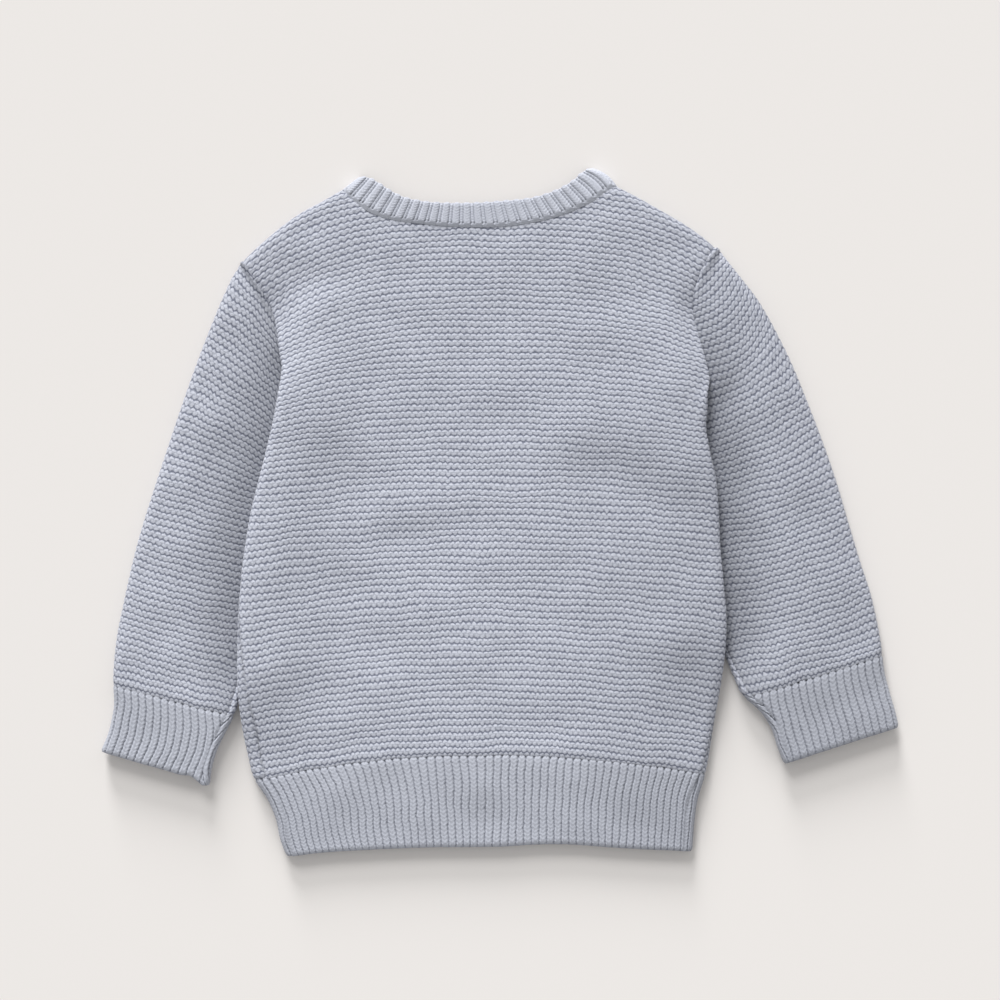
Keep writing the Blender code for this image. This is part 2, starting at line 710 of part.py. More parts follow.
def sleeve_piece(name, sleeve, rows, material):
    """A sleeve or its cuff: once round, from one side of the seam under the arm to the other."""
    inset = SLEEVE_SEAM_INSET * (1 - ease(sleeve.cuff_line, sleeve.cuff_line + SEAM_REACH, rows))
    opening = sleeve.opening(rows)
    left, _, right = sleeve.lengths(rows)
    quarter = right if sleeve.side < 0 else left
    top_arc = seam_arc(inset, opening, quarter, 1)
    under_arc = seam_arc(inset, opening, quarter, -1)
    inner = sleeve.turn_at(rows, 1 - SLEEVE_SHARE if sleeve.side < 0 else SLEEVE_SHARE)
    outer = (SLEEVE_STEPS, FOLD_STEPS)
    if sleeve.side < 0:
        start = 6 - sleeve.turn_from_right(rows, under_arc)
        end = 6 + sleeve.turn_from_right(rows, top_arc)
        stops = ((start, FOLD_STEPS), (6 - inner, outer[0]), (5, outer[1]), (6, outer[1]))
        stops += ((7, outer[0]), (6 + inner, FOLD_STEPS), (end, 0))
    else:
        start = sleeve.turn_from_left(rows, top_arc)
        end = 6 - sleeve.turn_from_left(rows, under_arc)
        stops = ((start, FOLD_STEPS), (inner, outer[0]), (2, outer[1]), (3, outer[1]))
        stops += ((4, outer[0]), (6 - inner, FOLD_STEPS), (end, 0))
    return build(name, sleeve, through(rows, *stops), CLOTH, material)


def sleeve_rows(sleeve, body_rows):
    """The rows of a sleeve: even ones up to the underarm, then those of the body's edge."""
    low = sleeve.cuff_line + SEAM_GAP
    high = sleeve.underarm - UNDERARM_TURN - MEET_RUN
    even = np.linspace(low, high, SLEEVE_ROWS)
    beside = body_rows[(body_rows > high + 1) & (body_rows < sleeve.top)]
    return np.concatenate((even, beside))


def neckband(name, body, material):
    """The neckband: once round, over the back and under it, through the panels' own columns."""
    band = Neckband()
    shares = body_shares(body)[len(SIDE_SHARES) : -len(SIDE_SHARES)][1:-1]
    rows = np.linspace(BAND_START, 1, NECK_STEPS + 1)
    x, _ = body.plan(body.last_row(shares, False), shares, False)
    seam = np.array(NECK_SEAM)
    back = band.turn_at(0.0, np.interp(x, seam[:, 0], lengths_along(seam)))
    x, _ = body.plan(body.last_row(shares, True), shares, True)
    front = band.turn_at(0.0, front_share(x))
    fold = np.linspace(0, 1, FOLD_STEPS + 1)
    once = np.concatenate((fold, back, 2 + fold, 3 + fold[1:], 6 - front[::-1], 5 + fold[:-1]))
    columns = [(rows, np.full_like(rows, turn)) for turn in once]
    return build(name, band, columns, RIB_CLOTH, material, ring=True)


def main():
    for thing in list(bpy.data.objects):
        bpy.data.objects.remove(thing, do_unlink=True)
    garter = knit_material("garter_knit", (0.40, 0.42, 0.48))
    rib = knit_material("rib_knit", (0.40, 0.42, 0.48))
    body = Body()
    hem_top = HEM_LINE - SEAM_GAP / 2
    knit_bottom = HEM_LINE + SEAM_GAP / 2
    panel("back", body, False, knit_bottom, None, garter)
    panel("front", body, True, knit_bottom, None, garter)
    panel("hem_rib_back", body, False, HEM_EDGE, hem_top, rib)
    panel("hem_rib_front", body, True, HEM_EDGE, hem_top, rib)
    left_y = body.ends(panel_rows(body, EDGE_SHARE, False, knit_bottom, None))[1]
    right_y = body.ends(panel_rows(body, 1 - EDGE_SHARE, False, knit_bottom, None))[3]
    left = Sleeve(-1, LEFT_SLEEVE, LEFT_UNDERARM, LEFT_CUFF_LINE)
    right = Sleeve(1, RIGHT_SLEEVE, RIGHT_UNDERARM, RIGHT_CUFF_LINE)
    for word, sleeve, beside in (("left", left, left_y), ("right", right, right_y)):
        sleeve_piece("sleeve_" + word, sleeve, sleeve_rows(sleeve, beside), garter)
        rows = np.linspace(sleeve.bottom, sleeve.cuff_line - SEAM_GAP / 2, CUFF_STEPS + 1)
        sleeve_piece("cuff_" + word, sleeve, rows, rib)
    neckband("neckband", body, rib)


if __name__ == "__main__":
    main()
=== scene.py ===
"""The baby sweater as knitted cloth: garter stitch with ribbed edges, laid flat on its front."""

import math

import bpy
import numpy as np
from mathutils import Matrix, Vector
from mathutils.geometry import delaunay_2d_cdt

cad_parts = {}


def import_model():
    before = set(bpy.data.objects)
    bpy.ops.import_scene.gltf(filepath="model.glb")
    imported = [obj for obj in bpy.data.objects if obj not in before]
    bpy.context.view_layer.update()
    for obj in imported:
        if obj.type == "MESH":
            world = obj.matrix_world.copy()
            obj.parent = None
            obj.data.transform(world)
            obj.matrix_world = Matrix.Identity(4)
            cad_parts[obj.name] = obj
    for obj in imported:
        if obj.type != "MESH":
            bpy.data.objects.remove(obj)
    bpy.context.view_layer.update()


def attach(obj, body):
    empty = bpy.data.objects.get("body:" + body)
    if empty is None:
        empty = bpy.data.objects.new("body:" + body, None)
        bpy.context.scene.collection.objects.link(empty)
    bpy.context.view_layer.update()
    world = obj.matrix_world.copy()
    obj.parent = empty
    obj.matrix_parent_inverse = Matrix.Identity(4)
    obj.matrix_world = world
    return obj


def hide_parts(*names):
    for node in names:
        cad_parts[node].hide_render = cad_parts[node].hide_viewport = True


MM = 0.001

CLOTH = 2.2  # thickness of the knitted cloth
RIB_CLOTH = 2.5  # thickness of the ribbed neckband
SEAM_GAP = -0.6  # between two pieces that are sewn together: here they overlap
BODY_HEIGHT = 7.2  # two panels and the air between them
HEM_HEIGHT = 6.8
SLEEVE_HEIGHT = 8.4
TUCKED_HEIGHT = 3.8  # of a sleeve where the body's edge presses on it
NECK_HEIGHT = 8.2

BODY_FOLD = 6.0  # how far in a fold's rounding reaches, for each tube
SLEEVE_FOLD = 5.0
TUCKED_FOLD = 3.0
SHOULDER_FOLD = 5.0
NECK_FOLD = 4.0
OPEN_FOLD = 0.15  # where an armhole opens the fold
MOST_FOLD_SHARE = 0.4  # of a sleeve's width, for its outer fold
LEAST_RADIUS = 0.05  # of the cloth inside a fold
LEAST_AIR = 0.2  # between the middle of a tube and the inside of its cloth
AIR_RISE = 10.0  # how soon this is reached from a fold

# The body's rows. The middle of a row is at mid_y; its ends hang lower by the two drops, in a
# curve of the power bend.
BODY_ROWS = (
    # mid_y, left_drop, right_drop, bend
    (-184, 5.2, 2.3, 2.6),
    (-160, 10.5, 6.5, 2.3),
    (-133.2, 14, 10.7, 2),
    (-100, 14, 10.5, 2),
    (-60, 13, 9.5, 2),
    (-20, 10, 8, 2.1),
    (20, 7.5, 7, 2.2),
    (60, 11, 10, 2.4),
    (100, 19, 14.5, 2.7),
    (130, 26, 18, 3),
    (157, 31, 21, 3),
    (190, 37, 26, 3),
)
ROW_MIDDLE = -8.0  # x of the middle of the rows
HEM_LINE = -133.2  # mid_y of the row where the rib begins
HEM_EDGE = -184.0
HEM_WAVE = (1.8, 33.0, 28.0)  # a slight rise of the hem's edge: its height, x and width

# Where the body ends at the left and right: the armhole seam from the shoulder to the underarm,
# then the side fold down to the hem.
LEFT_EDGE = (
    # y, x
    (-189.2, -117.2), (-180, -120.6), (-169, -123), (-158, -127.6), (-147, -134.8),
    (-133, -138.6), (-119, -141.4), (-100, -143.6), (-75, -143.8), (-49, -143),
    (-27, -141), (-5, -137.5), (17, -132.5), (39, -127), (58, -123),
    (75, -120.8), (92, -121.6), (108, -125.4), (122, -132.6), (137.2, -141.4),
)
RIGHT_EDGE = (
    # y, x
    (-186.4, 105.6), (-172, 106.6), (-158, 108.6), (-144, 112.8), (-126, 116),
    (-104, 119.9), (-84, 122.9), (-60, 124.3), (-40, 122.8), (-20, 121),
    (0, 120), (17, 118.6), (32, 115.5), (46, 113.2), (60, 114.6),
    (70, 115.2), (82, 113.2), (94, 109.8), (104, 107.6), (114, 106.8),
    (130, 110.6), (144.9, 118.3),
)
LEFT_UNDERARM = 88.0  # y where the armhole seam goes under the body's fold
RIGHT_UNDERARM = 74.0
UNDERARM_TURN = 24.0  # the seam takes this far to go under

# The back's side seams: how far in on top of the fold the seam lies.
SEAM_INSET = (
    # mid_y, left, right
    (-184, 5.4, 6.6), (-150, 7.6, 6.6), (-120, 9.4, 3), (-95, 8.6, 0),
    (-70, 5.6, 0), (-40, 1, 0), (-20, 0, 0),
)

# The shoulder folds.
SHOULDERS = (
    # x, y
    (-141.4, 137.2), (-132, 146.2), (-121, 155.6), (-110, 163.6), (-99, 169.6),
    (-86.4, 176.8), (-11, 215), (64.2, 178.6), (77, 171.9), (88, 165.6),
    (99, 159.2), (110, 151.7), (118.3, 144.9),
)
FRONT_NECK_DEPTH = 66.0  # of the front neck seam, below the shoulders

# The back neck: the seam, and the neckband's free edge.
NECK_SEAM = (
    # x, y
    (-86.4, 176.8), (-82.5, 171.9), (-77, 167.8), (-70.4, 163.9), (-61, 160.6),
    (-44, 158), (-22, 156.2), (0, 156.3), (22, 159.3), (38, 164.2),
    (49.5, 169.6), (57.5, 174.4), (64.2, 178.6),
)
NECK_EDGE = (
    # x, y
    (-77.5, 183.7), (-71.5, 182.8), (-66, 179.8), (-60.5, 176.2), (-54, 172.8),
    (-44, 170.3), (-22, 169), (0, 170), (22, 173), (33, 177.2),
    (40, 181.4), (45.5, 186.2), (50.5, 188.7),
)
NECK_LEFT, NECK_RIGHT = NECK_SEAM[0], NECK_SEAM[-1]  # where it crosses the shoulder folds
EDGE_LEFT, EDGE_RIGHT = NECK_EDGE[0], NECK_EDGE[-1]
FRONT_EDGE_DEPTH = 60.0
RIGHT_BULGE = (1.1, 1.4)  # x and y by which the neckband's right fold bulges halfway up
BULGE_START = 0.85  # share of the way round the band where that bulge begins
SCOOP_POWER = 1.7  # of the front neck's curve: 1 is an ellipse and 2 a parabola
NECK_RISE_SHARE = 0.12  # of its length from each fold, over which the neckband stands up

# A sleeve's rows, from the cuff's end up. A row runs from the fold beside the body to the outer
# fold. The inner end lies tuck millimetres in from the body's edge, under it.
LEFT_SLEEVE = (
    # inner_y, tuck, outer_x, outer_y, bow
    (-149, -24.6, -219.1, -131.4, 0),
    (-130.6, -15.8, -213.9, -117.5, 0),
    (-121.8, -9.8, -211.9, -106.5, 0),
    (-111.9, -3.2, -212.3, -94.3, -0.5),
    (-90, 4, -210.6, -71, -1),
    (-66, 12, -206.3, -48.7, -1.5),
    (-44, 14, -201.4, -26.7, -1.5),
    (-21, 14, -195.3, -4.7, -1.5),
    (-3, 13, -188.3, 17.3, 0),
    (13.5, 11.6, -181, 39.3, 1),
    (30, 9, -173.6, 61.3, 2),
    (48, 5.4, -165.8, 83.3, 2.5),
    (70, 2, -157.2, 105.3, 2.5),
    (84, 1.6, -152.6, 116.3, 2),
    (97, 1.6, -147.6, 127.3, 1),
    (112, 1.6, -144.4, 132.6, 0),
    (136.5, 1.6, -142.2, 137.6, 0),
)
RIGHT_SLEEVE = (
    # inner_y, tuck, outer_x, outer_y, bow
    (-138.5, -41.6, 218.9, -118, 0),
    (-129, -36.4, 216.9, -109.5, 0),
    (-117.4, -30.3, 213.6, -98, 0),
    (-108.6, -22.4, 211, -88, -0.5),
    (-101.5, -13.2, 209.8, -78.2, -1),
    (-90, -5.6, 208.9, -70.7, -1.5),
    (-71.6, 3, 204.4, -48.7, -3),
    (-48, 9, 197.5, -26.7, -4),
    (-26.4, 13, 190.9, -4.7, -4),
    (-5, 14, 184.4, 17.3, -4),
    (14, 8, 176.8, 39.3, -4),
    (34, 5, 168.3, 61.3, -3.5),
    (54, 3.5, 159.2, 83.3, -5),
    (64, 3, 153.8, 94.3, -6.5),
    (76, 2, 148, 105.3, -7.5),
    (88, 1.6, 141.4, 116.3, -7.5),
    (102, 1.6, 133.1, 127.3, -5.5),
    (118, 1.6, 125, 137.6, -1),
    (144.3, 1.6, 119.9, 144.9, 0),
)
CUFF_LOBES = (
    # share of the way across the left cuff's end, half width as a share, drop
    (0.94, 0.06, 2.2), (0.8, 0.05, -0.9),
)
LOBE_LENGTH = 22.0
LEFT_CUFF_LINE = -111.9  # inner_y of the row where each cuff begins
RIGHT_CUFF_LINE = -101.5
SLEEVE_SEAM_INSET = 6.0  # of the seam under the arm, on top of the sleeve's fold at the cuff
SEAM_REACH = 60.0  # above the cuff line, where that inset is gone

# Soft folds in the back, along straight lines.
BACK_FOLDS = (
    # x0, y0, x1, y1, width, height
    (-136, 104, -108, 128, 12, -1.1),
    (-128, 84, -92, 116, 8, 0.6),
    (-66, 96, -62, 10, 9, 0.4),
    (-84, -8, -44, 0, 12, 0.5),
    (-76, -18, -40, -12, 9, -0.35),
    (48, 52, 106, 26, 18, 1.3),
    (62, 18, 108, -12, 16, -0.8),
    (104, 110, 112, 70, 8, -0.9),
    (-22, -50, -16, -150, 18, 0.7),
    (60, -60, 70, -150, 16, 0.4),
    (-90, -60, -80, -150, 15, 0.3),
)

LIFT = 5.6  # of the body's edges where they lie on the sleeves
LIFT_FULL = 10.0  # how far in from the edge the body is lifted in full
LIFT_END = 62.0  # and where it is down on the surface again
LIFT_TOP = 116.0  # y where the body's edges begin to rise over the sleeves
LIFT_RUN = 58.0  # length of the slope along the edge
SLEEVES_OUT = (-84.0, -62.0)  # y where the left and right sleeves come out from under it

# A ridge of garter stitch is a row of caps, each a short arch of yarn, over a row of rounder
# blobs half a stitch along. Sizes are shares of a stitch across and of a ridge up.
WAVE = 0.035  # height of the wave of the gap between two ridges
CAP = (0.0, 0.22, 0.5, 0.24)  # place across and up, and half the width and height
BLOB = (0.5, -0.17, 0.5, 0.275)
BETWEEN = 0.55  # height of the yarn behind, where it shows between the stitches of a ridge
BETWEEN_SHADE = 0.35  # and in the colour
BETWEEN_REACH = 0.42  # how far up and down it shows
BUMP_BLEND = 0.15  # of caps and blobs in the colour
LEAN = 0.16  # of the stitches to the right
CAP_RISE = 0.12  # of the caps above the blobs
GARTER_DEPTH = 0.41  # from the tops of the ridges down to the gaps between stitches
LATTICE = (
    # place of a line of vertices up a ridge, and of its three vertices across a stitch
    (-0.5, (0.1, 0.42, 0.77)),
    (-0.19, (0.0, 0.33, 0.7)),
    (0.03, (0.1, 0.42, 0.77)),
    (0.25, (0.2, 0.5, 0.8)),
)
RIB_STEPS = 8  # vertices across a rib
RIB_LINE_STEPS = 3  # and to each of its rows
RIB_DEPTH = 0.85  # of the valleys between ribs
RIB_START = -0.04  # how far from a valley a rib begins to rise, as a share of its pitch
RIB_SIDE = 0.17  # and where it reaches its full height
MIDDLE_DIP = 0.2  # of a rib between its two columns of legs, as a share of RIB_DEPTH
MIDDLE_SIDES = (0.36, 0.5)  # how far from a valley this dip begins and is full
V_TILT = 0.9  # rows by which the legs of a rib's stitches rise from its middle to its sides
V_DEPTH = 0.18  # from the middle of a leg down to the gap before the next
LEG_HEIGHT = 0.25  # of the legs in the colour
BOUND_ROWS = (0.3, 0.75)  # the smooth bound edge of a rib, in rows up from its end
BOUND_DEPTH = 0.3
HOLE_DEPTH = 0.8  # of the holes between the ribs where the garter stitch begins
HOLE_ROWS = 0.5  # how many rows they reach down
HOLE_SIDES = (0.05, 0.3)  # how far they reach from a valley
HOLE_SHADE = 0.5  # painted shade in the holes: how much darker they are
SEAM_TONE = 0.13  # how much darker the wool is along a seam
SEAM_DEPTH = 0.55  # of the groove along a seam
SEAM_WIDTH = 1.1  # of that groove, to each side
WINDOW_FOLD_SHADE = 0.3  # painted shade where a fold turns the wool towards the window: how much darker it is there
WINDOW_SIDE = (-0.3, 0.95)  # the way to the window
SIDE_SEAM_TONE = 0.4  # how much darker the front is along its side seams
SIDE_SEAM_WIDTH = 1.5  # how far in this reaches
SEAM_RIDGES = 0.3  # share of that tone that follows the ridges
FRONT_SHIFT = 0.5  # of the front's ridges against the back's, so that the seam shows
INNER_GRID = 11.0  # spacing of the points inside a piece's hidden face
INNER_MARGIN = INNER_GRID / 3  # between them and its outline
STRAY_LOOP = 8  # points: a loop of no more than this is not an outline
WELD = 1e-6  # nearer points are one
RULER_STEPS = 800  # rows at which the ridges of a tube are counted

# Sizes of a stitch and a ridge, or of a rib and its rows, along each tube.
BODY_KNIT = (
    # row, stitch, ridge
    (-133, 2.8, 3.72), (-60, 2.95, 3.7), (0, 3.1, 3.66), (60, 3.25, 3.55),
    (110, 3.5, 3.4), (165, 3.6, 3.32),
)
SLEEVE_KNIT = (
    # row, stitch, ridge
    (-112, 2.75, 3.55), (-40, 3, 3.6), (40, 3, 3.6), (140, 2.95, 3.5),
)
HEM_ROWS = ((-184, 4.6, 2.3), (-133, 4.6, 2.3))
CUFF_ROWS = ((-149, 4.2, 2.3), (-100, 4.2, 2.3))
BODY_TOP = 190.0  # the last row of the body
HEM_RIBS = 29  # from the middle of the hem to each side fold
HEM_SPREAD = 1.07  # width of the ribs in the middle over their mean width

# The least and greatest u and v of each kind of piece, and millimetres to one of u and one of v.
BODY_SPANS, BODY_UNIT = (-52, 52, -1, 96), (3.1, 3.6)
HEM_SPANS, HEM_UNIT = (-34, 34, 0, 23), (4.6, 2.35)
SLEEVE_SPANS, SLEEVE_UNIT = (-46, 46, 0, 90), (3, 3.6)
CUFF_SPANS, CUFF_UNIT = (-26, 26, 0, 24), (4.2, 2.3)

GARTER_UNEVEN = (0.03, 0.09)  # how far stitches stray, quickly and slowly, in stitches
RIB_UNEVEN = (0.02, 0.05)
QUICK_WAVES = (1.1, 2.6)  # shortest and longest wave of each, in stitches
SLOW_WAVES = (5, 18)
QUICK_UP = 0.6  # of the quick straying up and down, against that across
CUFF_SEED = 50  # added to a sleeve's seed for its cuff
SOFT_SEED = 9  # and to each piece's for its uneven height
SOFTNESS = 0.17  # of the cloth's uneven height
SOFT_WAVES_BODY = (25, 90)  # its shortest and longest wave
SOFT_WAVES_SLEEVE = (25, 80)
CALM = 14.0  # how far in from a piece's outline it sets in
SOFT_RISE = 6.0  # and from a sleeve's outer fold
YARN_WANDER = 0.35  # how far the yarn wanders from its even course, in stitches
ARMHOLE_DIP = 2.2  # of the cloth along the armhole seams
DIP_WIDTH = 8.0  # to each side
BODY_DIP_ENDS = ((100, 132), (95, 138))  # y between which it fades out, left and right
SLEEVE_DIP_END = (98, 134)
PRESSED = (-2.0, 42.0)  # from the body's edge, where a sleeve is flat and where it is full
PRESSED_ABOVE = (-4.0, 30.0)  # from the cuff line, between which this sets in
JOINED = (2.0, 20.0)  # from the armhole seam, between which a sleeve leaves the body's height
FALLOFF_SHADE = 0.13  # painted shade of the light falling off: how much darker the wool is towards the right
FALLOFF_FROM = (10.0, 105.0)  # x between which this sets in
FALLOFF_TOP = 0.7  # share of it that is gone at the top
FALLOFF_UP = (60.0, 120.0)  # y between which that share fades
DEEP_PAINTED_SHADE = 0.36  # painted shade: how much darker the wool is deep in the fold between a sleeve and the body
DEEP_LEFT = (56.0, 20.0)  # rows above the underarm between which this sets in
DEEP_RIGHT = (60.0, -5.0)
DEEP_REACH = 36.0  # from the body's edge
BACK_RIBS = 25  # of the neckband, along the back
BAND_RIBS = 58  # all round
BAND_ROWS = 9
BAND_LINE_STEPS = 4  # vertices to each of its rows
BAND_STEPS = 6  # and across each of a rib's two columns
SUNK_SHARE = 0.3  # of a rib, for its sunk column
SUNK_DEPTH = 0.4  # of that column below the raised one
BAND_DEPTH = 0.8  # of the valleys between columns
BAND_SIDES = (0.42, 0.16)  # as RIB_SIDE, for the sunk and the raised columns
BAND_SCALLOP = 0.045  # by which the raised columns stand out at the free edge
SCALLOP_START = 0.6  # share of the band's width where they begin to
BAND_TONE = 1.15  # the band is lighter
BAND_HOLE_SHADE = 0.5  # painted shade in its holes: how much darker they are
BAND_HOLE_DEPTH = 0.4
BAND_SEAM_DEPTH = 0.8  # of the groove along its seam
BAND_EDGE_DEPTH = 0.3  # by which its free edge is rounded
BAND_EDGE_WIDTH = 0.8  # how far in that reaches
LINK_ROWS = (0.1, 0.17)  # the plain row that joins the band on, as shares of its width
LINK_DEPTH = 0.45  # of that row
LINK_STITCH = 0.2  # height of its stitches
LINK_SLANT = 9.0  # stitches that they slant by, over the band's width
LINK_HOLES = (0.18, 0.045)  # place and width of the holes beyond that row, as such shares
BAND_WIDTH = 13.0  # from the seam to the free edge
BAND_START = -0.03  # the row where the band begins, a little under the body
BAND_INNER = 3  # strips of its hidden face

# Colours: on the yarn, and painted shade in the gaps between yarns, and the heights between which
# one turns into the other.
GARTER_CREST = (0.6, 0.622, 0.698)
GARTER_GAP_SHADE = (0.155, 0.168, 0.225)
GARTER_EDGE = (-0.12, 0.65)
RIB_CREST = (0.493, 0.513, 0.577)
RIB_GAP_SHADE = (0.2, 0.21, 0.25)
RIB_EDGE = (0.0, 0.9)
SHADE_BASE = 0.1  # place of the gaps between those two colours
SHADE_SPAN = 0.85  # from there to the place of the yarn
MOTTLE, MOTTLE_SCALE = 0.35, 0.9  # strength of the wool's uneven colour, and spots to a stitch
FUZZ, FUZZ_SCALE = 0.9, 6.0  # and of its fibres
FUZZ_HEIGHT = 0.5  # by which fibres blur the edge of a gap
FUZZ_RELIEF = 0.9  # of the fibres in the bump, against the stitches
STITCH_RELIEF = 0.4
BUMP = {"Strength": 0.4, "Distance": 0.0004}  # m
WANDER_SCALE = 2.3  # turns of the yarn's wander to a stitch
WANDER_DETAIL, MOTTLE_DETAIL, FUZZ_DETAIL = 1.0, 2.0, 3.0  # finer layers of each noise
WOOL = {"Roughness": 0.92, "Specular IOR Level": 0.2, "Sheen Weight": 0.12, "Sheen Roughness": 0.5}
FLOOR = {"Base Color": (0.84, 0.81, 0.785, 1.0), "Roughness": 1.0, "Specular IOR Level": 0.0}

FLOOR_SIZE = 6.0  # m, as are the other sizes of the studio
FLOOR_GAP = 0.0004
SKY = {"Color": (1.0, 1.0, 1.0, 1.0), "Strength": 0.515}
LIGHTS = (
    # name, strength, angle it spans, and the heading and elevation of the way to it
    ("window", 1.35, 0.4, 1.9, 0.6),
    ("low_window", 3.4, 0.3, 1.75, 0.23),
)
CAMERA_HEIGHT = 1.6
SENSOR = 36.0  # mm
VIEW_WIDTH = 0.55  # of the floor in the picture
VIEW_MIDDLE = 0.0063  # y in the middle of the picture


def smooth(table, column, at):
    """One column of a table whose first column is the knots, as a curve through its rows."""
    rows = np.array(table, float)
    knots = rows[:, 0]
    values = rows[:, column]
    slopes = np.gradient(values, knots)
    at = np.clip(at, knots[0], knots[-1])
    i = np.clip(np.searchsorted(knots, at, side="right") - 1, 0, len(knots) - 2)
    step = knots[i + 1] - knots[i]
    t = (at - knots[i]) / step
    start = (1 + 2 * t) * (1 - t) ** 2 * values[i] + t * (1 - t) ** 2 * step * slopes[i]
    end = t * t * (3 - 2 * t) * values[i + 1] + t * t * (t - 1) * step * slopes[i + 1]
    return start + end


def ease(low, high, at):
    """0 below low and 1 above high, with a smooth rise between them."""
    t = np.clip((at - low) / (high - low), 0, 1)
    return t * t * (3 - 2 * t)


def bell(away, width):
    """1 where away is 0, falling off over the width."""
    return np.exp(-((away / width) ** 2))


def soft_folds(table, x, y):
    """Height of the soft folds at a place: a ridge or trough round each line of the table."""
    height = np.zeros_like(x)
    for x0, y0, x1, y1, width, most in table:
        run = np.array((x1 - x0, y1 - y0))
        along = np.clip(((x - x0) * run[0] + (y - y0) * run[1]) / (run @ run), 0, 1)
        away = np.hypot(x - x0 - along * run[0], y - y0 - along * run[1])
        height += most * bell(away, width)
    return height


def quarter_arc(reach):
    """Length of the cloth round a fold of this reach, up to where it lies flat."""
    return math.pi / 2 * np.sqrt((reach**2 + (BODY_HEIGHT / 2) ** 2) / 2)


class Tube:
    """A knitted tube pressed flat, as the shapes of its rows.

    A place on it is a row, and a turn: 0 at the left fold, 1 where its rounding ends on top, 2
    where the right fold's begins, 3 at the right fold, then 4, 5 and 6 back on the underside.
    Each kind of tube gives folds, the reach of its left and right folds' rounding; ends, x and y
    of those folds; plan, x and y at a share of the way from the left fold to the right one; and
    heights, the cloth's lower and upper height.
    """

    def width(self, row):
        """From the left fold straight to the right one."""
        x0, y0, x1, y1 = self.ends(row)
        return np.hypot(x1 - x0, y1 - y0)

    def lengths(self, row):
        """Round the left fold to the top, across the top, and round the right fold."""
        left, right = self.folds(row)
        return quarter_arc(left), self.width(row) - left - right, quarter_arc(right)

    def turn_round(self, row, arc, from_right):
        """The turn at a length of arc from one of the folds, towards the top if positive."""
        left, flat, right = self.lengths(row)
        near, far = (right, left) if from_right else (left, right)
        size = np.abs(arc)
        turn = 4 + (size - near - flat - 2 * far) / flat
        turn = np.where(size < near + flat + 2 * far, 2 + (size - near - flat) / far, turn)
        turn = np.where(size < near + flat, 1 + (size - near) / flat, turn)
        turn = np.where(size < near, size / near, turn) * np.sign(arc)
        return 3 - turn if from_right else turn

    def turn_at(self, row, share):
        """The turn on top at a share of the way from the left fold to the right one."""
        left, right = self.folds(row)
        width = self.width(row)
        across = share * width
        round_left = np.arccos(np.clip(1 - across / left, -1, 1)) / (math.pi / 2)
        round_right = np.arccos(np.clip(1 - (width - across) / right, -1, 1)) / (math.pi / 2)
        turn = 1 + (across - left) / (width - left - right)
        turn = np.where(across < left, round_left, turn)
        return np.where(across > width - right, 3 - round_right, turn)

    def point(self, row, turn, depth):
        """x, y and z, at a depth in from the outer face."""
        turn = np.mod(turn, 6)
        under = turn > 3
        u = np.where(under, 6 - turn, turn)
        left, right = self.folds(row)
        width = self.width(row)
        left_angle = np.clip(u, 0, 1) * math.pi / 2
        right_angle = np.clip(3 - u, 0, 1) * math.pi / 2
        near_left = left - np.maximum(left - depth, LEAST_RADIUS) * np.cos(left_angle)
        near_right = width - right + np.maximum(right - depth, LEAST_RADIUS) * np.cos(right_angle)
        across = np.where(u < 1, near_left, left + np.clip(u - 1, 0, 1) * (width - left - right))
        across = np.where(u > 2, near_right, across)
        share = across / width
        x, y = self.plan(row, share, under)
        low, high = self.heights(row, share, x, y)
        y, close = self.close_top(x, y, depth)
        rise = np.sin(left_angle) * np.sin(right_angle) * close
        half = ((high - low) / 2 - depth) * rise
        half = np.maximum(half, LEAST_AIR * np.minimum(1, AIR_RISE * rise))
        return x, y, (low + high) / 2 + np.where(under, -half, half)

    def close_top(self, x, y, depth):
        """Rounds the tube off where a fold also closes its end: here nowhere."""
        return y, 1.0


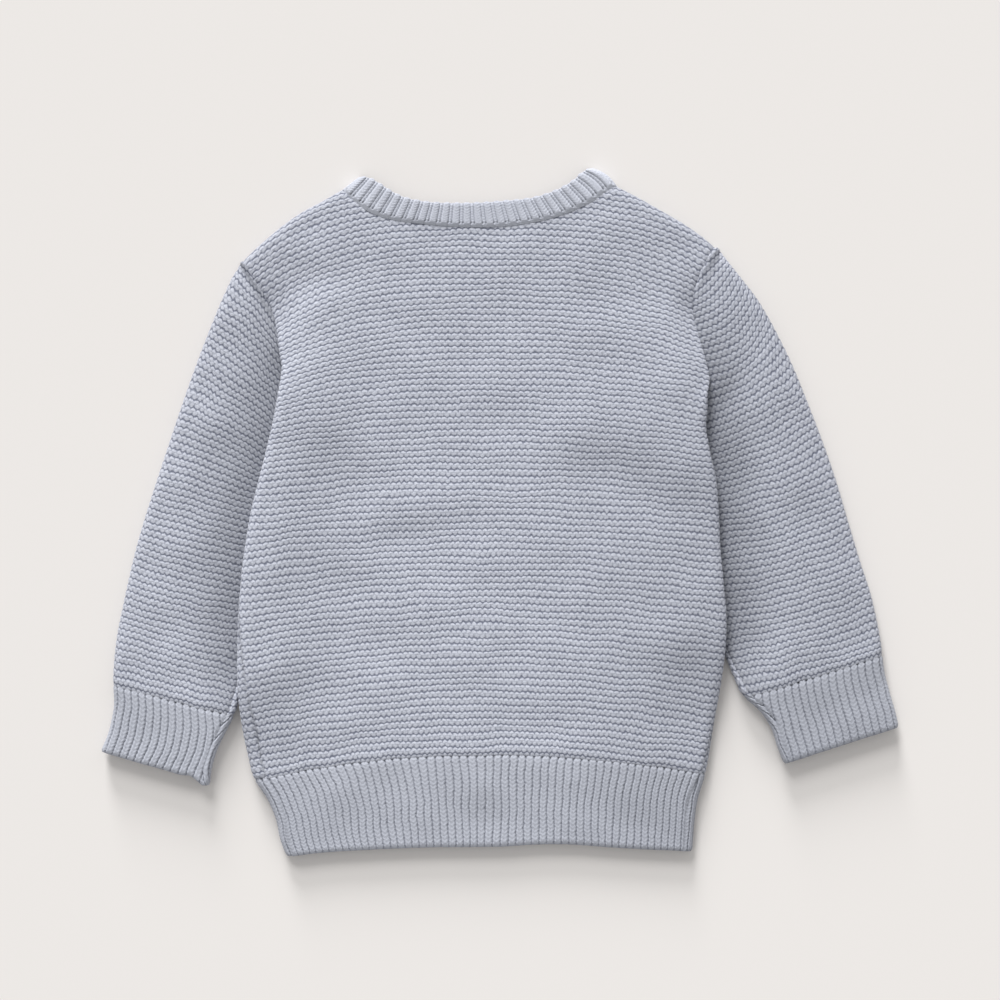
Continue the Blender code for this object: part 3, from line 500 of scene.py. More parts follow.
class Body(Tube):
    """The body with its hem rib. A row is the y of its middle."""

    def ends(self, row):
        y0 = row - smooth(BODY_ROWS, 1, row)
        y1 = row - smooth(BODY_ROWS, 2, row)
        return smooth(LEFT_EDGE, 1, y0), y0, smooth(RIGHT_EDGE, 1, y1), y1

    def opening(self, row):
        """1 where an armhole opens the fold and 0 below it, at the left and right."""
        _, y0, _, y1 = self.ends(row)
        left = ease(LEFT_UNDERARM - UNDERARM_TURN, LEFT_UNDERARM, y0)
        return left, ease(RIGHT_UNDERARM - UNDERARM_TURN, RIGHT_UNDERARM, y1)

    def folds(self, row):
        return [BODY_FOLD + (OPEN_FOLD - BODY_FOLD) * opening for opening in self.opening(row)]

    def plan(self, row, share, under):
        x0, _, x1, _ = self.ends(row)
        x = x0 + share * (x1 - x0)
        left = np.clip((ROW_MIDDLE - x) / (ROW_MIDDLE - x0), 0, 1)
        right = np.clip((x - ROW_MIDDLE) / (x1 - ROW_MIDDLE), 0, 1)
        bend = smooth(BODY_ROWS, 3, row)
        drop = smooth(BODY_ROWS, 1, row) * left**bend + smooth(BODY_ROWS, 2, row) * right**bend
        height, middle, width = HEM_WAVE
        rise = height * bell(x - middle, width) * (1 - ease(HEM_EDGE, HEM_LINE, row))
        return x, row - drop + rise

    def heights(self, row, share, x, y):
        x0, y0, x1, y1 = self.ends(row)
        lift = dip = 0
        sides = zip((share, 1 - share), (y0, y1), self.opening(row), SLEEVES_OUT, BODY_DIP_ENDS)
        for part, end_y, opening, out, dip_end in sides:
            away = part * (x1 - x0)
            edge = 1 - ease(LIFT_FULL, LIFT_END, away)
            edge = edge * (1 - ease(LIFT_TOP - LIFT_RUN, LIFT_TOP, end_y))
            lift = lift + edge * ease(out - LIFT_RUN, out, end_y)
            dip = dip + opening * (1 - ease(*dip_end, end_y)) * bell(away, DIP_WIDTH)
        rib = 1 - ease(HEM_EDGE, HEM_LINE, row)
        high = LIFT * lift + BODY_HEIGHT + (HEM_HEIGHT - BODY_HEIGHT) * rib
        return LIFT * lift, high - ARMHOLE_DIP * dip + soft_folds(BACK_FOLDS, x, y)

    def close_top(self, x, y, depth):
        start = smooth(SHOULDERS, 1, x) - SHOULDER_FOLD
        angle = np.clip((y - start) / quarter_arc(SHOULDER_FOLD), 0, 1) * math.pi / 2
        rounded = start + (SHOULDER_FOLD - depth) * np.sin(angle)
        return np.where(y > start, rounded, y), np.where(y > start, np.cos(angle), 1.0)

    def top(self, x, under):
        """y where a panel ends, measured along the cloth: at a shoulder seam or the neck seam."""
        shoulder = smooth(SHOULDERS, 1, x) - SHOULDER_FOLD
        shoulder = shoulder + quarter_arc(SHOULDER_FOLD) - SEAM_GAP / 2
        if under:
            neck = hanging(front_share(x), NECK_LEFT, NECK_RIGHT, FRONT_NECK_DEPTH)[1]
        else:
            neck = smooth(NECK_SEAM, 1, x)
        inside = (x > NECK_LEFT[0]) & (x < NECK_RIGHT[0])
        return np.where(inside, np.minimum(neck - SEAM_GAP / 2, shoulder), shoulder)


def front_share(x):
    """The share of the way round the front neck seam at a place across."""
    away = (2 * x - NECK_LEFT[0] - NECK_RIGHT[0]) / (NECK_RIGHT[0] - NECK_LEFT[0])
    return np.arccos(np.clip(-away, -1, 1)) / math.pi


class Sleeve(Tube):
    """A sleeve with its cuff. A row is the y of its end beside the body. side is -1 or 1."""

    def __init__(self, side, table, body_edge, underarm, cuff_line):
        self.side = side
        self.table = table
        self.body_edge = body_edge
        self.underarm = underarm
        self.cuff_line = cuff_line
        self.bottom = table[0][0]
        self.top = table[-1][0]

    def opening(self, row):
        return ease(self.underarm - UNDERARM_TURN, self.underarm, row)

    def ends(self, row):
        inner = smooth(self.body_edge, 1, row) - self.side * smooth(self.table, 1, row), row
        outer = smooth(self.table, 2, row), smooth(self.table, 3, row)
        return outer + inner if self.side < 0 else inner + outer

    def folds(self, row):
        inner = TUCKED_FOLD + (OPEN_FOLD - TUCKED_FOLD) * self.opening(row)
        outer = np.minimum(SLEEVE_FOLD, self.width(row) * MOST_FOLD_SHARE)
        return (outer, inner) if self.side < 0 else (inner, outer)

    def plan(self, row, share, under):
        x0, y0, x1, y1 = self.ends(row)
        width = self.width(row)
        bow = smooth(self.table, 4, row) * 4 * share * (1 - share)
        if self.side < 0:
            low = 1 - ease(self.bottom, self.bottom + LOBE_LENGTH, row)
            for at, half, drop in CUFF_LOBES:
                bow = bow - drop * low * bell(share - at, half)
        x = x0 + share * (x1 - x0) - bow * (y1 - y0) / width
        return x, y0 + share * (y1 - y0) + bow * (x1 - x0) / width

    def heights(self, row, share, x, y):
        from_inner = (1 - share if self.side < 0 else share) * self.width(row)
        beyond = from_inner - smooth(self.table, 1, row)
        pressed = (1 - ease(*PRESSED, beyond)) * ease(*PRESSED_ABOVE, row - self.cuff_line)
        high = SLEEVE_HEIGHT + (TUCKED_HEIGHT - SLEEVE_HEIGHT) * pressed
        joined = self.opening(row) * (1 - ease(*JOINED, from_inner))
        dip = self.opening(row) * (1 - ease(*SLEEVE_DIP_END, row)) * bell(from_inner, DIP_WIDTH)
        return np.zeros_like(x), high + (BODY_HEIGHT - high) * joined - ARMHOLE_DIP * dip


class Neckband(Tube):
    """The neckband. A row is 0 along the neck seam and 1 along the free edge."""

    def folds(self, row):
        return [np.full_like(row, NECK_FOLD)] * 2

    def ends(self, row):
        pairs = zip(NECK_LEFT + NECK_RIGHT, EDGE_LEFT + EDGE_RIGHT)
        x0, y0, x1, y1 = (seam + (edge - seam) * row for seam, edge in pairs)
        bulge = 4 * row * (1 - row)
        return x0, y0, x1 + RIGHT_BULGE[0] * bulge, y1 + RIGHT_BULGE[1] * bulge

    def plan(self, row, share, under):
        seam_x, seam_y = along(NECK_SEAM, share)
        edge_x, edge_y = along(NECK_EDGE, share)
        low_x, low_y = hanging(share, NECK_LEFT, NECK_RIGHT, FRONT_NECK_DEPTH)
        free_x, free_y = hanging(share, EDGE_LEFT, EDGE_RIGHT, FRONT_EDGE_DEPTH)
        x0, y0 = np.where(under, low_x, seam_x), np.where(under, low_y, seam_y)
        x1, y1 = np.where(under, free_x, edge_x), np.where(under, free_y, edge_y)
        bulge = 4 * row * (1 - row) * ease(BULGE_START, 1, share)
        x = x0 + row * (x1 - x0) + RIGHT_BULGE[0] * bulge
        return x, y0 + row * (y1 - y0) + RIGHT_BULGE[1] * bulge

    def heights(self, row, share, x, y):
        middle = ease(0, NECK_RISE_SHARE, share) * ease(0, NECK_RISE_SHARE, 1 - share)
        return np.zeros_like(x), BODY_HEIGHT + (NECK_HEIGHT - BODY_HEIGHT) * middle


def along(line, share):
    """x and y at a share of a line's length."""
    length = np.cumsum(np.hypot(*np.diff(line, axis=0).T))
    table = np.column_stack((np.concatenate(([0], length)) / length[-1], line))
    return smooth(table, 1, share), smooth(table, 2, share)


def hanging(share, left, right, depth):
    """x and y at a share of the way round a scoop that hangs between two places."""
    away = -np.cos(math.pi * share)
    x = (left[0] + right[0]) / 2 + away * (right[0] - left[0]) / 2
    level = (left[1] + right[1]) / 2 + away * (right[1] - left[1]) / 2
    return x, level - depth * np.abs(np.sin(math.pi * share)) ** SCOOP_POWER


def seam_arc(inset, opening, quarter, side):
    """How far round from the fold a piece ends, towards its own face, at a side seam."""
    closed = side * inset + SEAM_GAP / 2
    return closed + (quarter - closed) * opening


def waves(seed, shortest, longest, count=28):
    """A smooth random function of two lengths, about 1 in size, made of sine waves."""
    rng = np.random.default_rng(seed)
    length = np.exp(rng.uniform(math.log(shortest), math.log(longest), count))
    heading = rng.uniform(0, 2 * math.pi, count)
    kx = 2 * math.pi / length * np.cos(heading)
    ky = 2 * math.pi / length * np.sin(heading)
    phase = rng.uniform(0, 2 * math.pi, count)

    def value(x, y):
        total = np.zeros(np.shape(x))
        for a, b, c in zip(kx, ky, phase):
            total += np.sin(a * x + b * y + c)
        return total * math.sqrt(2 / count)

    return value


def garter_depth(u, v):
    """Depth of garter stitch below its highest points."""
    up = v - WAVE * np.cos(2 * math.pi * u)
    up = up - np.round(up)
    bumps = []
    for across, middle, half_width, half_height in (CAP, BLOB):
        away = u - across - LEAN * (up - middle)
        away = (away - np.round(away)) / half_width
        bumps.append(away**2 + ((up - middle) / half_height) ** 2)
    cap, blob = (np.sqrt(np.clip(1 - bump**2, 0, 1)) for bump in bumps)
    behind = BETWEEN * np.clip(1 - (up / BETWEEN_REACH) ** 4, 0, 1)
    return GARTER_DEPTH * (1 - np.maximum(np.maximum(cap, (1 - CAP_RISE) * blob), behind))


def off_valley(u):
    """How far a place across a rib is from the nearest valley, as a share of the rib's pitch."""
    return 0.5 - np.abs(u - np.floor(u) - 0.5)


def valley_hole(u, v, last):
    """1 in the holes between ribs at the last row, and 0 away from them."""
    return (1 - ease(*HOLE_SIDES, off_valley(u))) * bell(last - v, HOLE_ROWS)


def edged_rib(last):
    """rib_depth with a smooth bound edge at its start, and holes at its last row."""

    def depth(u, v):
        bound = 1 - ease(*BOUND_ROWS, v)
        ribbed = rib_depth(u, v) + HOLE_DEPTH * valley_hole(u, v, last)
        return ribbed + (BOUND_DEPTH - ribbed) * bound

    return depth


def rib_depth(u, v):
    """Depth of a 1x1 rib: chains of V stitches, with a valley at each whole u."""
    away = off_valley(u)
    hill = ease(RIB_START, RIB_SIDE, away)
    dip = MIDDLE_DIP * ease(*MIDDLE_SIDES, away)
    leg = 0.5 + 0.5 * np.cos(2 * math.pi * (v + V_TILT * 2 * away))
    return RIB_DEPTH * (1 - hill + dip) + V_DEPTH * (1 - leg) * hill


def garter_lines(low_u, high_u, low_v, high_v):
    """The lattice of a garter piece: its columns are upright, and its lines follow the yarn."""
    ridge = np.arange(low_v, high_v)[:, None, None, None]
    stitch = np.arange(low_u, high_u)[:, None]
    line = np.array([line for line, _ in LATTICE])[:, None, None]
    column = np.array([columns for _, columns in LATTICE])[:, None, :]
    grids = np.broadcast_arrays(stitch + column, ridge + line)
    u, v = (grid.reshape(ridge.size * len(LATTICE), -1) for grid in grids)
    return u, v + WAVE * np.cos(2 * math.pi * u)


def rib_lines(low_u, high_u, low_v, high_v):
    """The lattice of a ribbed piece: its lines rise with the legs of the stitches."""
    columns = np.arange(round(low_u) * RIB_STEPS, round(high_u) * RIB_STEPS + 1)
    first = math.floor(low_v) * RIB_LINE_STEPS
    lines = np.arange(first, (math.ceil(high_v) + 2) * RIB_LINE_STEPS + 1)
    u, line = np.meshgrid(columns / RIB_STEPS, lines / RIB_LINE_STEPS)
    return u, line - V_TILT * 2 * off_valley(u)


def cut_grid(u, v, clearance):
    """The triangles of a grid where clearance is positive, cut along the line where it is 0."""
    rows, columns = u.shape
    spot = np.arange(rows * columns).reshape(rows, columns)
    a, b, c, d = spot[:-1, :-1], spot[:-1, 1:], spot[1:, 1:], spot[1:, :-1]
    odd = np.arange(columns - 1) % 2 == 1
    halves = ((odd, (a, b, c)), (odd, (a, c, d)), (~odd, (a, b, d)), (~odd, (b, c, d)))
    triangles = np.concatenate(
        [np.stack([corner[:, some].ravel() for corner in three], -1) for some, three in halves]
    )
    u, v = u.ravel(), v.ravel()
    clear = clearance(u, v)
    inside = clear > 0
    count = inside[triangles].sum(1)
    cuts, new, kept = {}, [], []

    def cut(i, j):
        key = (min(i, j), max(i, j))
        if key not in cuts:
            t = clear[i] / (clear[i] - clear[j])
            cuts[key] = len(u) + len(new)
            new.append((u[i] + t * (u[j] - u[i]), v[i] + t * (v[j] - v[i])))
        return cuts[key]

    for triangle in triangles[(count == 1) | (count == 2)]:
        one_inside = inside[triangle].sum() == 1
        lone = int(np.argmax(inside[triangle] == one_inside))
        i, j, k = (int(triangle[(lone + n) % 3]) for n in range(3))
        first, second = cut(i, j), cut(i, k)
        if one_inside:
            kept.append((i, first, second))
        else:
            kept += [(first, j, k), (first, k, second)]
    triangles = np.concatenate((triangles[count == 3], np.array(kept, int).reshape(-1, 3)))
    u, v = np.concatenate((np.stack((u, v), -1), np.array(new).reshape(-1, 2))).T
    used, triangles = np.unique(triangles, return_inverse=True)
    return u[used], v[used], triangles.reshape(-1, 3)


def loops_of(triangles):
    """The closed loops of vertices round a mesh's open edges, each in its faces' direction."""
    ends = np.concatenate([triangles[:, [0, 1]], triangles[:, [1, 2]], triangles[:, [2, 0]]])
    present = {(int(i), int(j)) for i, j in ends}
    following = {i: j for i, j in present if (j, i) not in present}
    loops = []
    while following:
        start = next(iter(following))
        loop = [start]
        at = following.pop(start)
        while at != start and at in following:
            loop.append(at)
            at = following.pop(at)
        loops.append(loop)
    return loops


def knit(name, stitch, spans, unit, place, clearance, flip=False, shade=None):
    """A piece of knitting as a closed shell: a detailed face, plain rims and a plain hidden face.

    stitch is its material, lattice and depth. spans are the least and greatest u and v, and unit
    the millimetres to one of u and one of v. place gives x, y and z for u, v and a depth, and
    clearance the distance inside the outline. flip turns the faces round, for an underside.
    shade gives the wool's tone: darker side seams on the front, and painted shade in folds and
    holes elsewhere.
    """
    material, lines, depth_of = stitch
    u, v, triangles = cut_grid(*lines(*spans), clearance)
    loops = [loop for loop in loops_of(triangles) if len(loop) > STRAY_LOOP]
    seam = bell(np.maximum(clearance(u, v), 0), SEAM_WIDTH)
    outer = place(u, v, depth_of(u, v) + SEAM_DEPTH * seam)
    rim = np.concatenate([np.array(loop) for loop in loops])
    edges, start = [], 0
    for loop in loops:
        n = len(loop)
        edges += [(start + i, start + (i + 1) % n) for i in range(n)]
        start += n
    grid_u = np.arange(spans[0], spans[1], INNER_GRID / unit[0])
    grid_v = np.arange(spans[2], spans[3], INNER_GRID / unit[1])
    grid_u, grid_v = (grid.ravel() for grid in np.meshgrid(grid_u, grid_v))
    well_in = clearance(grid_u, grid_v) > INNER_MARGIN
    flat_u = np.concatenate((u[rim], grid_u[well_in]))
    flat_v = np.concatenate((v[rim], grid_v[well_in]))
    flat = [Vector((a * unit[0], b * unit[1])) for a, b in zip(flat_u, flat_v)]
    points, _, hidden, origins, _, _ = delaunay_2d_cdt(flat, edges, [], 2, WELD)
    inner_u, inner_v = (np.array([tuple(point) for point in points]) / unit).T
    inner = place(inner_u, inner_v, np.full(len(points), CLOTH))
    total = len(u)
    at_rim = {source: total + i for i, sources in enumerate(origins) for source in sources}
    rims = []
    for i, j in edges:
        a, b, c, d = int(rim[i]), int(rim[j]), at_rim[j], at_rim[i]
        rims += [(b, a, c), (a, d, c)]
    back = np.array([face[::-1] for face in hidden]) + total
    faces = np.concatenate((triangles, np.array(rims), back))
    if flip:
        faces = faces[:, ::-1]
    vertices = np.concatenate((outer, inner)) * MM
    uv = np.concatenate((np.stack((u, v), -1), np.stack((inner_u, inner_v), -1)))
    tone = shade(*uv.T) if shade else np.ones(len(vertices))
    facing = place(u, v, np.zeros(total)) - place(u, v, np.ones(total))
    # Darker seams, and painted shade where a fold faces the window.
    tone[:total] *= (1 - SEAM_TONE * seam) * (1 - WINDOW_FOLD_SHADE * lit(facing))
    # Painted shade of the light falling off towards the right.
    tone *= light_falloff(vertices[:, 0] / MM, vertices[:, 1] / MM)
    return mesh_piece(name, vertices, faces, uv, tone, material)


def lit(facing):
    """How far the wool faces the window, from the way out of it."""
    return np.clip(facing[..., :2] @ WINDOW_SIDE, 0, 1)


def light_falloff(x, y):
    """Painted shade of the light falling off: the wool is a little darker towards the right and the
    bottom.
    """
    return 1 - FALLOFF_SHADE * ease(*FALLOFF_FROM, x) * (1 - FALLOFF_TOP * ease(*FALLOFF_UP, y))


def mesh_piece(name, vertices, faces, uv, tone, material):
    mesh = bpy.data.meshes.new(name)
    mesh.from_pydata(vertices, [], faces)
    mesh.validate()
    layer = mesh.uv_layers.new(name="knit")
    layer.data.foreach_set("uv", uv[faces].astype(np.float32).ravel())
    # The tone attribute darkens the colour: darker seams, and painted shade in folds, holes and
    # towards the right.
    mesh.attributes.new("tone", "FLOAT", "POINT").data.foreach_set("value", tone.astype(np.float32))
    mesh.shade_smooth()
    mesh.materials.append(material)
    piece = linked(name + "_knit", mesh)
    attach(piece, "root")
    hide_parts(name)
    return piece


class Ruler:
    """The row of a tube at each ridge of its knitting, counted from the bottom row."""

    def __init__(self, tube, table, bottom, top):
        rows = np.linspace(bottom, top, RULER_STEPS)
        x, y = tube.plan(rows, np.full_like(rows, 0.5), False)
        x0, y0, x1, y1 = tube.ends(rows)
        across = (np.gradient(y) * (x1 - x0) - np.gradient(x) * (y1 - y0)) / tube.width(rows)
        self.count = np.concatenate(([0], np.cumsum(across[1:] / smooth(table, 2, rows[1:]))))
        self.rows = rows
        self.table = table

    def row(self, ridge):
        rows, count = self.rows, self.count
        first = (rows[1] - rows[0]) / (count[1] - count[0])
        last = (rows[-1] - rows[-2]) / (count[-1] - count[-2])
        row = np.interp(ridge, count, rows)
        row = np.where(ridge < 0, rows[0] + ridge * first, row)
        return np.where(ridge > count[-1], rows[-1] + (ridge - count[-1]) * last, row)

    def inside(self, row):
        """The distance inside the first and last rows."""
        return np.minimum(row - self.rows[0], self.rows[-1] - row)


def jittered(u, v, seed, quick, slow):
    """u and v with the small unevenness of hand knitting."""
    quick_u, quick_v = waves(seed, *QUICK_WAVES), waves(seed + 1, *QUICK_WAVES)
    slow_u, slow_v = waves(seed + 2, *SLOW_WAVES), waves(seed + 3, *SLOW_WAVES)
    u2 = u + quick * quick_u(u, v) + slow * slow_u(u, v)
    return u2, v + QUICK_UP * quick * quick_v(u, v) + slow * slow_v(u, v)


def body_place(body, ruler, stitch, under, seed, uneven=GARTER_UNEVEN, shift=0.0):
    """place and clearance for a panel of the body, whose rows are moved up by shift.

    stitch gives the distance from the rows' middle for u, a row and its two ends.
    """
    unevenness = waves(seed + SOFT_SEED, *SOFT_WAVES_BODY)

    def where(u, v):
        row = ruler.row(v + shift)
        x0, _, x1, _ = body.ends(row)
        across = stitch(u, row, x0, x1)
        scale = body.width(row) / (x1 - x0)
        left, right = body.folds(row)
        from_left = (across + ROW_MIDDLE - x0) * scale - left + quarter_arc(left)
        from_right = (x1 - ROW_MIDDLE - across) * scale - right + quarter_arc(right)
        return row, across, from_left, from_right

    def clearance(u, v):
        row, across, *from_folds = where(u, v)
        inside = ruler.inside(row)
        sides = zip((1, 2), from_folds, body.opening(row), body.folds(row))
        for column, from_fold, opening, fold in sides:
            inset = smooth(SEAM_INSET, column, row)
            end = seam_arc(inset, opening, quarter_arc(fold), -1 if under else 1)
            inside = np.minimum(inside, from_fold - end)
        x0, _, x1, _ = body.ends(row)
        share = np.clip((ROW_MIDDLE + across - x0) / (x1 - x0), 0, 1)
        x, y = body.plan(row, share, under)
        return np.minimum(inside, body.top(x, under) - y)

    def place(u, v, depth):
        row, across, from_left, from_right = where(*jittered(u, v, seed, *uneven))
        left = body.turn_round(row, from_left, False)
        turn = np.where(across < 0, left, body.turn_round(row, from_right, True))
        x, y, z = body.point(row, -turn if under else turn, depth)
        if not under:
            z = z + SOFTNESS * unevenness(x, y) * np.clip(clearance(u, v) / CALM, 0, 1)
        return np.stack((x, y, z), -1)

    return place, clearance


def sleeve_place(sleeve, ruler, seed, uneven=GARTER_UNEVEN):
    """place, clearance and tone for a sleeve or a cuff. The tone is painted shade deep in the fold
    beside the body.
    """
    unevenness = waves(seed + SOFT_SEED, *SOFT_WAVES_SLEEVE)
    from_right = sleeve.side > 0

    def where(u, v):
        row = ruler.row(v)
        return row, -sleeve.side * u * smooth(ruler.table, 1, row)

    def clearance(u, v):
        row, arc = where(u, v)
        inset = SLEEVE_SEAM_INSET * (1 - ease(0, SEAM_REACH, row - sleeve.cuff_line))
        left, flat, right = sleeve.lengths(row)
        inside = ruler.inside(row)
        for side in (1, -1):
            end = seam_arc(inset, sleeve.opening(row), left if from_right else right, side)
            inside = np.minimum(inside, left + flat + right - side * arc - end)
        return inside

    def place(u, v, depth):
        row, arc = where(*jittered(u, v, seed, *uneven))
        x, y, z = sleeve.point(row, sleeve.turn_round(row, arc, from_right), depth)
        soft = np.clip(clearance(u, v) / CALM, 0, 1) * ease(0, SOFT_RISE, arc)
        return np.stack((x, y, z + SOFTNESS * unevenness(x, y) * soft), -1)

    # Painted shade deep in the fold between the sleeve and the body.
    def tone(u, v):
        row, arc = where(u, v)
        beyond = sum(sleeve.lengths(row)) - arc - smooth(sleeve.table, 1, row)
        deep = DEEP_PAINTED_SHADE * ease(*(DEEP_RIGHT if from_right else DEEP_LEFT), row - sleeve.underarm)
        return 1 - deep * (1 - ease(0, DEEP_REACH, np.abs(beyond)))

    return place, clearance, tone


def ring_knit(name, band, material, seed):
    """The neckband, knitted in a ring: a ribbed face outside and a plain one inside."""
    columns = 2 * BAND_RIBS * BAND_STEPS
    lines = BAND_ROWS * BAND_LINE_STEPS
    part = np.arange(columns) / BAND_STEPS
    rib = np.floor(part / 2)
    within = part - 2 * rib
    sunk = within < 1
    raised_at = SUNK_SHARE / 2 + (within - 1) * (1 - SUNK_SHARE)
    u = np.mod(rib + np.where(sunk, (within - 0.5) * SUNK_SHARE, raised_at), BAND_RIBS)
    share = np.clip(u / BACK_RIBS, 0, 1)
    front = np.clip((u - BACK_RIBS) / (BAND_RIBS - BACK_RIBS), 0, 1)

    def place(row, depth):
        row = row + np.zeros(columns)
        on_back = band.turn_at(row, share + np.zeros_like(row))
        on_front = 6 - band.turn_at(row, 1 - front + np.zeros_like(row))
        return np.stack(band.point(row, np.where(u < BACK_RIBS, on_back, on_front), depth), -1)

    across = part - np.floor(part)
    away = off_valley(part)
    hill = ease(RIB_START, np.where(sunk, *BAND_SIDES), away)
    shares = np.linspace(0, 1, lines + 1)[:, None]
    v = shares * BAND_ROWS + np.zeros(columns)
    _, even_v = jittered(part + 0 * v, v, seed, *GARTER_UNEVEN)
    tilt = np.where(sunk, 0.0, 2 * V_TILT * away)
    leg = 0.5 + 0.5 * np.cos(2 * math.pi * (even_v + tilt))
    depth = BAND_DEPTH * (1 - hill) + SUNK_DEPTH * sunk * hill + V_DEPTH * (1 - leg)
    link = 1 - ease(*LINK_ROWS, shares)
    chain = LINK_DEPTH + LINK_STITCH * np.cos(2 * math.pi * (2 * u + LINK_SLANT * shares))
    depth = depth + (chain - depth) * link
    holes = bell(shares - LINK_HOLES[0], LINK_HOLES[1]) * (1 - hill)
    seam = bell(shares * BAND_WIDTH, SEAM_WIDTH)
    edge = bell((1 - shares) * BAND_WIDTH, BAND_EDGE_WIDTH)
    stand = BAND_SCALLOP * (np.where(sunk, 0, np.sin(math.pi * across)) - 0.5)
    stand = 1 + stand * ease(SCALLOP_START, 1, shares)
    rows = BAND_START + (1 - BAND_START) * shares * stand
    grooves = BAND_HOLE_DEPTH * holes + BAND_SEAM_DEPTH * seam + BAND_EDGE_DEPTH * edge
    outer = place(rows, depth + grooves)
    inner_rows = np.linspace(BAND_START, 1, BAND_INNER + 1)[:, None]
    inner = place(inner_rows, RIB_CLOTH)
    points = np.concatenate((outer.reshape(-1, 3), inner.reshape(-1, 3))) * MM
    # Near its valleys the yarn's pattern is stretched, so that they are drawn narrow.
    spread = np.floor(part) + np.arccos(1 - 2 * across) / math.pi
    drawn = spread + (np.floor(part) + 0.5 - spread) * link
    inner_v = inner_rows * BAND_ROWS + np.zeros(columns)
    uv = [np.stack((drawn, v), -1), np.stack((part + 0 * inner_v, inner_v), -1)]
    uv = np.concatenate([layer.reshape(-1, 2) for layer in uv])
    facing = place(rows, np.zeros(depth.shape)) - place(rows, np.ones(depth.shape))
    # The band is lighter and darker along its seam, with painted shade in its holes and where a
    # fold faces the window.
    tone = BAND_TONE * (1 - BAND_HOLE_SHADE * holes) * (1 - SEAM_TONE * seam)
    tone = np.concatenate(((tone * (1 - WINDOW_FOLD_SHADE * lit(facing))).ravel(), np.ones(inner_v.size)))

    def strip(low, high):
        """The faces between two rings, from the numbers of their first vertices."""
        here = np.arange(columns)
        ahead = (here + 1) % columns
        a, b, c, d = low + here, low + ahead, high + ahead, high + here
        return np.concatenate((np.stack((a, b, c), -1), np.stack((a, c, d), -1)))

    rings = columns * np.arange(lines + 1)
    inner_rings = rings[-1] + columns * np.arange(1, BAND_INNER + 2)
    faces = [strip(*pair) for pair in zip(rings[:-1], rings[1:])]
    faces.append(strip(inner_rings[0], 0))
    turned = [strip(*pair) for pair in zip(inner_rings[:-1], inner_rings[1:])]
    turned.append(strip(inner_rings[-1], rings[-1]))
    faces += [some[:, ::-1] for some in turned]
    return mesh_piece(name, points, np.concatenate(faces), uv, tone, material)


class Graph:
    """Builds a material's nodes."""

    def __init__(self, name):
        self.material = bpy.data.materials.new(name)
        self.material["slot"] = name
        self.material.use_nodes = True
        self.nodes = self.material.node_tree.nodes
        self.links = self.material.node_tree.links
        self.shader = self.nodes["Principled BSDF"]

    def node(self, kind, **inputs):
        node = self.nodes.new(kind)
        for name, value in inputs.items():
            self.put(node.inputs[name], value)
        return node

    def put(self, socket, value):
        if isinstance(value, bpy.types.NodeSocket):
            self.links.new(value, socket)
        else:
            socket.default_value = value

    def math(self, operation, *values):
        node = self.nodes.new("ShaderNodeMath")
        node.operation = operation
        for socket, value in zip(node.inputs, values):
            self.put(socket, value)
        return node.outputs[0]

    def noise(self, uv, scale, detail):
        """The outputs of a noise texture over the knit's own coordinates."""
        return self.node("ShaderNodeTexNoise", Vector=uv, Scale=scale, Detail=detail).outputs

    def lattice(self, wander):
        """The knit's own coordinates, and their two parts made to wander slightly."""
        layer = self.nodes.new("ShaderNodeUVMap")
        layer.uv_map = "knit"
        uv = layer.outputs["UV"]
        noise = self.noise(uv, WANDER_SCALE, WANDER_DETAIL)
        shift = self.nodes.new("ShaderNodeVectorMath")
        shift.operation = "MULTIPLY_ADD"
        turned = (noise["Color"], (wander, wander, 0.0), uv)
        for socket, value in zip(shift.inputs, turned):
            self.put(socket, value)
        parts = self.node("ShaderNodeSeparateXYZ", Vector=shift.outputs["Vector"])
        return uv, *(self.math("SUBTRACT", parts.outputs[axis], wander / 2) for axis in "XY")


def garter_height(graph, u, v):
    """The height of garter stitch, from 0 in its gaps to 1 on its yarn."""
    do = graph.math
    up = do("MULTIPLY_ADD", do("COSINE", do("MULTIPLY", u, 2 * math.pi)), -WAVE, v)
    up = do("SUBTRACT", up, do("ROUND", up))
    bumps = []
    for across, middle, half_width, half_height in (CAP, BLOB):
        away = do("SUBTRACT", do("MULTIPLY_ADD", up, -LEAN, u), across - LEAN * middle)
        away = do("DIVIDE", do("SUBTRACT", away, do("ROUND", away)), half_width)
        rise = do("DIVIDE", do("SUBTRACT", up, middle), half_height)
        bump = do("SUBTRACT", 1.0, do("MULTIPLY", away, away))
        bumps.append(do("SUBTRACT", bump, do("MULTIPLY", rise, rise)))
    rise = do("DIVIDE", up, BETWEEN_REACH)
    rise = do("MULTIPLY", rise, rise)
    behind = do("SUBTRACT", BETWEEN_SHADE, do("MULTIPLY", rise, rise))
    return do("MAXIMUM", do("SMOOTH_MAX", *bumps, BUMP_BLEND), behind)


def rib_height(graph, u, v):
    """The height of the rib, from 0 in the valleys between ribs to 1 on their stitches."""
    do = graph.math
    away = do("SUBTRACT", 0.5, do("ABSOLUTE", do("SUBTRACT", do("FRACT", u), 0.5)))
    hill = do("MINIMUM", do("DIVIDE", away, RIB_SIDE), 1.0)
    leg = do("COSINE", do("MULTIPLY", do("MULTIPLY_ADD", away, 2 * V_TILT, v), 2 * math.pi))
    return do("MULTIPLY_ADD", leg, LEG_HEIGHT, hill)


